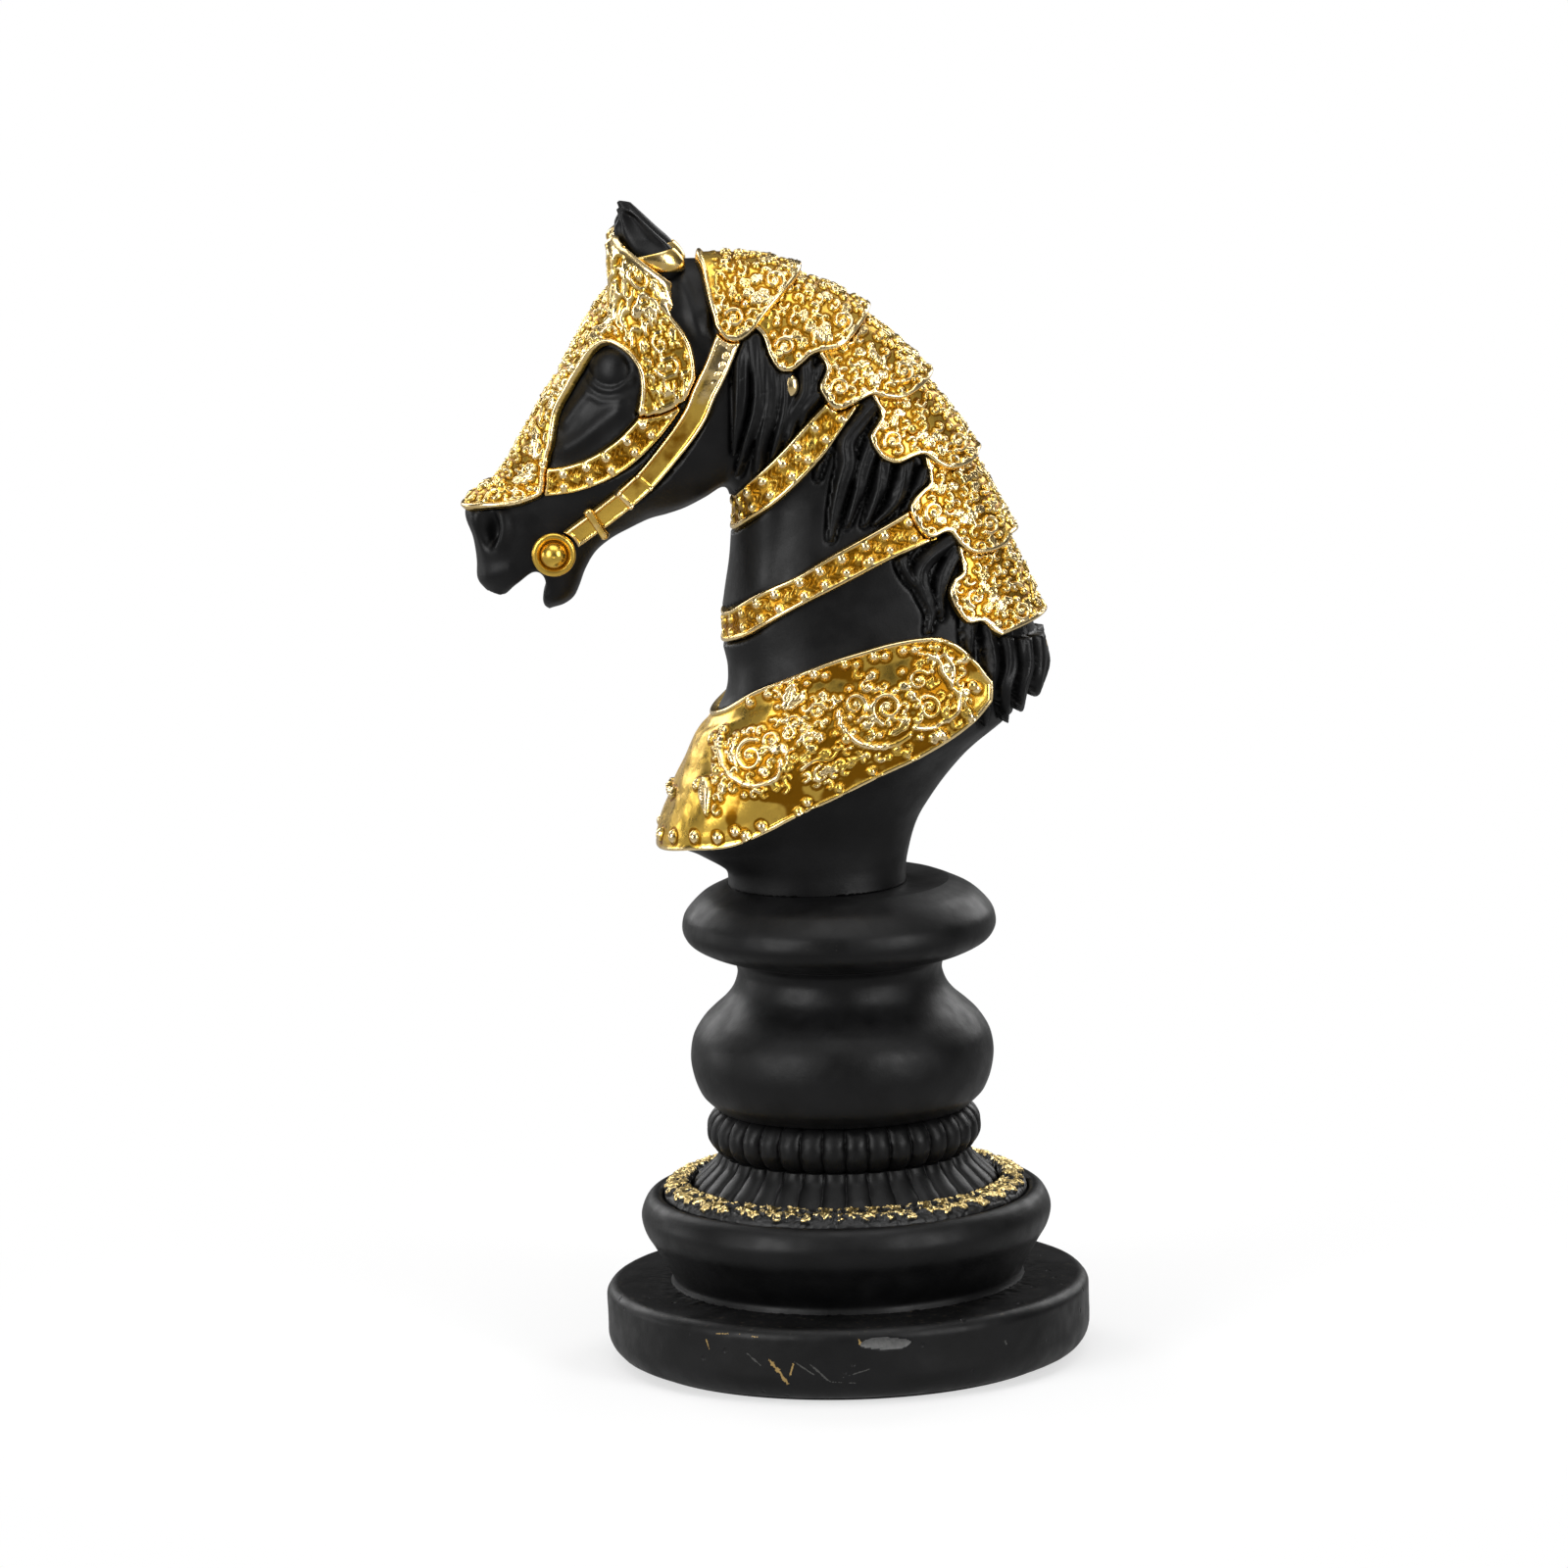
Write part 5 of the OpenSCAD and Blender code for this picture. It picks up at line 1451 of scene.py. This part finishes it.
def make_band(name, edges, lame):
    """Beaded band round the throat; its ends butt against a lame of the crinet."""
    params, tris = girdle_patch(edges, finer(0.26))
    beside = -outline_depth(side_view(middle(params)), LAME_OUTLINES[lame]) - 0.15
    params, tris = largest(*clip(params, tris, np.minimum(girdle_field(params, edges)[0], beside)))
    depth = throat(params[:, 1])

    def relief(q, d):
        along, across, half = along_band(params, edges)
        raised, dark = cells_relief(along + 0.6, across, half, edges[0][1])
        raised = raised + 0.3 * (value_noise(q, 4.0, 91) - 0.5)
        edge = half - np.abs(across)
        inner = smooth(edge, 0.9, 1.3)
        return raised * inner * (1 - 0.4 * depth) + rim(edge, 1.3, 0.65), dark * inner

    return shell(name, params, tris, relief, -1.9 * depth)


# The breast plate's vine: a C of leaves in front, a flower, and a second C with scrolls behind.
VINE = [([(-23.2, 137.0), (-23.6, 134.6), (-22.6, 131.0), (-19.1, 128.6), (-14.6, 128.9), (-11.9, 130.6),
          (-11.2, 133.6)], 0.85, 0.65, 1.15),
        ([(1.0, 143.4), (1.4, 141.0), (3.0, 138.7), (5.6, 137.0), (9.1, 136.3), (12.6, 136.9), (15.6, 138.6)],
         0.85, 0.65, 1.15),
        ([(16.6, 140.0), (20.4, 139.8), (23.4, 141.6)], 0.65, 0.5, 0.95)]
PEYTRAL_WORK = [
    ((-17.2, 134.0), scroll, 0, 0, 3.7, 60, 1.45, 1, 0.72, 1.15),
    ((-12.9, 137.6), scroll, 0, 0, 1.8, 200, 1.3, -1, 0.55, 1.0),
    ((-8.8, 134.4), scroll, 0, 0, 1.7, 90, 1.2, 1, 0.52, 1.0),
    ((-9.4, 139.0), scroll, 0, 0, 1.6, 60, 1.2, -1, 0.52, 1.0),
    ((-3.6, 132.6), scroll, 0.6, -1.6, 1.7, 100, 1.2, 1, 0.5, 0.95),
    ((-3.6, 132.6), scroll, 4.6, 0.2, 1.3, 200, 1.1, -1, 0.46, 0.9),
    ((-3.2, 143.6), scroll, 0, 0, 1.8, 20, 1.4, 1, 0.55, 1.05),
    ((-7.9, 141.4), scroll, 0, 0, 1.5, 160, 1.2, -1, 0.5, 1.0),
    ((11.0, 144.2), scroll, 0, 0, 3.6, 250, 1.55, -1, 0.74, 1.2),
    ((4.3, 145.0), scroll, 0, 0, 2.5, 330, 1.4, 1, 0.66, 1.1),
    ((7.4, 148.6), scroll, 0, 0, 1.5, 90, 1.2, 1, 0.5, 0.95),
    ((7.0, 140.8), scroll, 0, 0, 1.8, 160, 1.2, -1, 0.58, 1.05),
    ((20.0, 143.6), scroll, 0, 0, 2.6, 120, 1.5, -1, 0.66, 1.15),
    ((18.0, 149.4), scroll, 0, 0, 2.3, 40, 1.35, 1, 0.62, 1.1),
    ((-26.9, 125.0), scroll, 2.6, 3.0, 1.2, 120, 1.1, -1, 0.46, 0.85),
    ((-26.9, 125.0), scroll, -2.5, 2.8, 1.1, 60, 1.1, 1, 0.44, 0.8),
    ((-17.2, 134.0), leaf, [(-3.6, 3.4), (-4.6, 0.8), (-3.2, -1.8)], 1.0, 1.0, 2),
    ((-8.8, 146.0), leaf, [(-1.2, -2.2), (0, 0.8), (0.9, 3.2)], 1.5, 1.15, 3),
    ((-8.8, 146.0), leaf, [(-0.4, -2.0), (1.8, -0.4), (3.2, 1.8)], 1.1, 1.05, 2),
    ((13.6, 139.9), leaf, [(-2.2, -1.0), (0, 0), (2.2, 2.2)], 1.0, 1.0, 2),
    ((-26.9, 125.0), leaf, [(0, 3.8), (0.2, 0), (0.1, -4.0)], 1.4, 1.25, 1),
    ((-33.6, 123.4), leaf, [(-1.0, 2.6), (0, 0), (0.4, -2.8)], 1.2, 1.0, 2),
    ((-3.6, 132.6), stroke, [(-3.4, -0.6), (-0.6, 1.2), (2.6, 1.4), (4.2, 3.2)], 0.62, 0.42, 0.95),
    ((25.2, 145.4), stroke, [(-1.8, -4.6), (0.6, -2.6), (0.9, 0.4), (-0.9, 2.6), (-0.4, 4.8)], 0.7, 0.5, 1.1),
    ((22.8, 152.0), stroke, [(2.0, -3.6), (0.2, -1.2), (-0.6, 1.2), (-3.0, 2.6)], 0.78, 0.5, 1.15),
    ((22.8, 152.0), stroke, [(2.2, -3.2), (2.4, 0), (0.8, 2.2), (0.6, 4.0)], 0.66, 0.45, 1.05)]
FLOWER = (-5.4, 139.2)

# Beads along the breast plate's edges: turn from the throat, and one or two; for the rear ones, turn and s.
UPPER_BEADS = [(40, 1), (50, 1), (61, 1), (72, 2), (83, 2), (91, 2), (100, 2), (110, 1)]
LOWER_BEADS = [(14, 1), (28, 1), (42, 1), (54, 1), (64, 2), (72, 1), (83, 1), (86, 2), (92, 2), (99, 2),
               (108, 2)]
REAR_BEADS = [(120, 6.26), (124, 5.48), (123, 4.84), (115, 4.54)]


def edge_beads():
    out = []
    for beads, column, inset in ((UPPER_BEADS, 2, -2.4), (LOWER_BEADS, 1, 2.3)):
        for phi, count in beads:
            s, t = float(table(np.array([phi]), PEYTRAL, column)[0]), 180.0 - phi
            near, far = read_table(ALONG, np.array([s, s + 0.1]), np.array([t, t]))
            p, n = skin_at(s + inset * 0.1 / (far - near), t)
            way = unit(np.cross(n, skin_at(s + inset * 0.1 / (far - near) + 0.1, t)[0] - p))
            out += [[*(p + way * k), 1.1, 1.15] for k in ((-1.15, 1.15) if count == 2 else (0,))]
    return np.array(out + [[*skin_at(s, 180.0 - phi)[0], 1.15, 1.1] for phi, s in REAR_BEADS])


def peytral_domes(patch):
    petals = [bead(1.35 * math.cos(a), 1.35 * math.sin(a), 0.8, 1.05) for a in circle(5)]
    flower = lay(FLOWER, bead(0, 0, 0.8, 1.25), *petals)
    main = np.vstack([run(*row) for row in VINE] + [worked(PEYTRAL_WORK), flower])
    filling = fill(patch[patch[:, 0] > -25], 2.0, 15, 0.95, 0.95, main, 1.7)
    return np.vstack([main, filling, edge_beads()])


def make_peytral():
    """Breast plate: uneven, with patches of painted dark reflection on its sides, the vine, the beads along
    its edges and a rolled rim.
    """
    params, tris = girdle_patch(PEYTRAL, finer(0.28))
    params, tris = clip(params, tris, girdle_field(params, PEYTRAL)[0])
    domes = peytral_domes(one_side(params))

    def relief(q, d):
        base = skin(*params.T)
        uneven = (value_noise(q, 6.0, 95) - 0.5) * 0.6 + (value_noise(q, 2.6, 96) - 0.5) * 0.25
        plain = uneven * smooth(d, 1.0, 2.5) - 0.6 * smooth(d, 1.2, 4.5)
        # Patches of painted dark reflection on the sides, and painted shade round the raised work.
        dark_reflection_patches = 0.8 * smooth(value_noise(q, 4.5, 97), 0.48, 0.66) * smooth(np.abs(180 - params[:, 1]), 45,
                                                                             60)
        dark = np.maximum(halo(base, domes, 0.7), dark_reflection_patches) + 1.36 * plain
        return plain + stamp(base, domes) * smooth(d, 0.6, 1.2) + rim(d, 1.3, 0.75), dark * smooth(d, 0.8,
                                                                                                   1.3)

    sunk = 1.3 * throat(params[:, 1]) * smooth(girdle_field(params, PEYTRAL)[1], 7.0, 1.5)
    return shell("peytral", params, tris, relief, 0.1 - sunk, THICK + 0.2, 0.46)


# ---------------------------------------------------------------- buckles, bosses, rivets and studs

BOSS_Y = (10.2, 11.2)
BUCKLE_ENDS = ((-50.9, 187.0), (-47.8, 181.0))


def make_boss(side):
    """Domed boss in a rolled ring at the end of the cheek strap, turned about an axis along Y."""
    y0, y1 = BOSS_Y
    ball, ring = arc(0.02, y1 + 0.5, 2.75, 88, -8, 16), arc(BOSS_R - 0.8, y1 - 0.1, 0.8, 150, -60, 12)
    groove = [(2.95, y1 - 0.1), (3.1, y1 - 0.1)]
    hollow = [(BOSS_R - 0.4, y0), (1.25, y0), (1.25, y1 + 1.0), (0.02, y1 + 1.0)]
    section = np.vstack([ball, groove, ring, hollow])
    r, a = rows_and_columns(section[:, 0], circle(64))
    verts = np.stack([BIT[0] + r * np.cos(a), 0 * r + section[:, 1:], BIT[1] + r * np.sin(a)], -1).reshape(-1,
                                                                                                           3)
    # Painted shade: the groove between ball and ring and the hollow underneath are set dark; the ball and ring
    # get lighter and darker levels of the gold.
    shade = np.repeat([0.5] * 16 + [0.0] * 2 + [0.45] * 12 + [0.0] * 4, 64)
    return add_gold("bit_boss_" + side, mirror(verts, SIDES[side]), ring_faces(*r.shape), shade)


def make_buckle(side):
    """Cast bar with ball ends, over the strap."""
    p, n = seat(BUCKLE_ENDS)
    ends = p + n * (GAP + THICK + 0.5)
    line = smooth_line([ends[0], ends.mean(0) + np.array([0, 0.55, 0]), ends[1]], 10)
    k = np.abs(np.linspace(-1, 1, len(line)))
    r = mix(0.95, 1.15, k) * np.clip(1 - np.clip((k - 0.82) / 0.18, 0, 1) ** 2, 0.02, 1) ** 0.5
    way = unit(np.gradient(line, axis=0))
    across = unit(np.cross(way, [0, 1, 0]))
    r, a = rows_and_columns(r, circle(18))
    x, y = (r * np.cos(a))[..., None], (r * np.sin(a))[..., None]
    verts = line[:, None] + x * across[:, None] + y * np.cross(across, way)[:, None]
    return add_gold("strap_buckle_" + side, mirror(verts.reshape(-1, 3), SIDES[side]), capped_faces(*r.shape),
                    0.72)


def dome_button(centre, normal, radius, height, foot, tall=1.0):
    """Round-headed rivet or stud standing on the skin, its foot sunk by foot."""
    z = unit(np.array(normal))
    up = unit(np.array([0, 0, 1.0]) - z * z[2])
    a = circle(28)[:, None]
    section = [(radius * 0.9, -foot), (radius * 0.98, 0.0)]
    section += [(radius * math.cos(t), height * math.sin(t)) for t in np.radians([8, 20, 34, 48, 62, 75, 85])]
    around = np.cos(a) * np.cross(up, z) + np.sin(a) * up * tall
    return np.vstack([centre + z * h + r * around for r, h in section]), capped_faces(len(section), len(a))


def make_rivets(name, rows, radius=1.15, height=0.95):
    """Rivets on both sides, at rows of [s, turn, height over the skin]."""
    verts, faces = [], []
    for s, turn, lift in rows:
        p, n = skin_at(s, turn)
        for sign in (1, -1):
            points, sides = dome_button(mirror(p + n * lift, sign), mirror(n, sign), radius, height, 1.2)
            faces += [[i + len(points) * len(verts) for i in face] for face in sides]
            verts.append(points)
    return add_gold(name, np.vstack(verts), faces, 0.7)


def make_all_rivets():
    top = GAP + THICK + 0.25
    make_rivets("chanfron_rivets", [(s, turn, top + 0.1) for s, turn in ((16.3, 78), (22.4, 30))])
    make_rivets("band_rivets", [(s, turn, top - 0.2) for s, turn in ((12.16, 98), (9.34, 86))])
    make_rivets("peytral_rivets", [(s, turn, top + 0.5) for s, turn in ((5.6, 58), (5.2, 95), (5.0, 140))])
    rows = [(s, 47, top + 0.25 + lame_rise(k, skin_at(s, 47)[0][None])[0])
            for k, s in enumerate((14.6, 13.4, 12.35, 11.2, 9.6, 7.75))]
    make_rivets("crinet_rivets", rows, 1.05, 0.85)


def make_studs():
    """Plain gold studs: one each side of the mane, one at the foot of the crest."""
    # The gold's level sets a painted highlight: pale on the mane studs (0.95), less on the crest stud (0.6).
    (p,), (n,) = seat((-7.2, 211.9))
    for side, sign in SIDES.items():
        button = dome_button(mirror(p + n * 1.3, sign), mirror(n, sign), 1.7, 1.15, 1.4, 1.45)
        add_gold("mane_stud_" + side, *button, 0.95)
    low, high, _ = level("crest_stud")
    add_gold("crest_stud", *dome_button((44.3, 0, (low + high) / 2), (1, 0, 0.05), 1.5, 1.5, 1.6, 1.6), 0.6)


def dress_cad_nodes():
    """Materials for the CAD nodes that stay as they are, all inside the casting but for the mouth bar."""
    steel = make_metal("plated_steel", 3.0, (0.50, 0.50, 0.51), (0.66, 0.66, 0.67))
    brass = make_metal("plain_brass", 2.5, (0.72, 0.49, 0.17), (0.85, 0.62, 0.26))
    materials = {"bust_insert": brass, "mouth_bar": GOLD}
    for name in ("ballast_disc", "tie_rod", "rod_nut", "rod_washer", "locating_pins", "bust_insert",
                 "mouth_bar"):
        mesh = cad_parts[name].data
        mesh.materials.clear()
        mesh.materials.append(materials.get(name, steel))


# ---------------------------------------------------------------- floor, light and camera

# Name, place, size, watts.
LIGHTS = [("softbox_left", (-1.1, -1.0, 0.62), (0.7, 1.0), 16),
          ("softbox_right", (1.05, -1.05, 0.65), (0.5, 0.9), 14),
          ("reflector_low", (-1.25, 0.45, 0.14), (0.5, 0.5), 2.5), ("softbox_top", (0.0, -0.2, 1.5),
                                                                    (1.2, 1.2), 10),
          ("softbox_back_left", (-0.9, 1.2, 0.8), (0.7, 1.0), 9), ("softbox_back_right", (0.9, 1.2, 0.8),
                                                                   (0.7, 1.0), 9)]
LIT = Vector((0, 0, 0.13))


def make_floor_paint():
    """Pale floor that turns into the white of the backdrop away from the object."""
    n = new_material("pale_floor")
    n.finish(n.blend(n.noise(400.0), (0.93, 0.93, 0.93), (0.915, 0.915, 0.915)), 0.7, specular=0.2)
    far = n.span(n.vector("LENGTH", [n.place])["Value"], 0.03, 0.22, 0.6, 1.0)
    white = n.add("ShaderNodeEmission", {"Strength": n.math("MULTIPLY_ADD", n.seen(), 0.58, 0.42)})
    pick = n.add("ShaderNodeMixShader", [far, n.bsdf.outputs[0], white.outputs[0]])
    n.feed(n.tree.nodes["Material Output"].inputs["Surface"], pick.outputs[0])
    return n.block


def make_floor():
    r, a = rows_and_columns(np.array([300, 1500, 9000]), circle(96))
    verts = np.vstack([[(0, 0, 0)], polar(r, a, 0 * a).reshape(-1, 3)])
    faces = [[0, 1 + i, 1 + (i + 1) % 96] for i in range(96)] + (tube_faces(3, 96)[:, ::-1] + 1).tolist()
    add_mesh("floor", verts, faces, make_floor_paint())


def make_world():
    """White to the camera; for light and reflections a grey room with bright and dark walls."""
    world = bpy.data.worlds.new("studio")
    bpy.context.scene.world = world
    world.use_nodes = True
    world.node_tree.nodes.clear()
    n = Nodes(world)
    way = n.add("ShaderNodeTexCoord").outputs["Generated"]
    height = n.add("ShaderNodeMapRange", [n.add("ShaderNodeSeparateXYZ", [way]).outputs["Z"], -1.0, 1.0])
    ramp = n.add("ShaderNodeValToRGB", [height.outputs[0]])
    tones = ramp.color_ramp.elements
    for tone, value in zip(tones, (0.7, 0.95)):
        tone.color = (value, value, value, 1)
    for position, value in ((0.47, 0.35), (0.53, 0.07), (0.66, 0.13), (0.82, 0.65)):
        tones.new(position).color = (value, value, value, 1)
    room = n.add("ShaderNodeBackground", {"Color": ramp.outputs[0], "Strength": 0.34})
    white = n.add("ShaderNodeBackground", {"Color": (1, 1, 1)})
    pick = n.add("ShaderNodeMixShader", [n.seen(), room.outputs[0], white.outputs[0]])
    n.add("ShaderNodeOutputWorld", [pick.outputs[0]])


def make_lights():
    for name, place, size, watts in LIGHTS:
        data = bpy.data.lights.new(name, "AREA")
        data.shape, data.size, data.size_y, data.energy = "RECTANGLE", *size, watts
        light = bpy.data.objects.new(name, data)
        light.location = place
        light.rotation_euler = (LIT - Vector(place)).to_track_quat("-Z", "Y").to_euler()
        bpy.context.scene.collection.objects.link(light)
        light.visible_camera = False


def make_camera():
    """Long lens, a little above level, square to the horse's left side."""
    look = Vector((-10.95, 0.0, 124.1)) * MM
    width, lens, sensor, rise, roll = 0.3342, 250.0, 36.0, math.radians(10.5), math.radians(1.5)
    place = look + Vector((0.0, -math.cos(rise), math.sin(rise))) * width * lens / sensor
    data = bpy.data.cameras.new("camera")
    data.lens, data.sensor_width, data.clip_end = lens, sensor, 30.0
    camera = bpy.data.objects.new("camera", data)
    turn = (look - place).to_track_quat("-Z", "Y").to_matrix() @ Matrix.Rotation(-roll, 3, "Z")
    camera.matrix_world = Matrix.Translation(place) @ turn.to_4x4()
    bpy.context.scene.collection.objects.link(camera)
    bpy.context.scene.camera = camera


dress_cad_nodes()
make_foot_pad()
make_plinth()
make_castings()
make_leaf_ring()
make_bust()
make_chanfron()
for lame in range(6):
    make_lame(lame)
make_band("neck_band_upper", BAND_UPPER, 2)
make_band("neck_band_lower", BAND_LOWER, 4)
make_peytral()
for side in SIDES:
    for make in (make_ear, make_ear_band, make_eye_strap, make_cheek_strap, make_buckle, make_boss):
        make(side)
make_all_rivets()
make_studs()
make_floor()
make_world()
make_lights()
make_camera()
bpy.context.scene.view_settings.view_transform = "Standard"
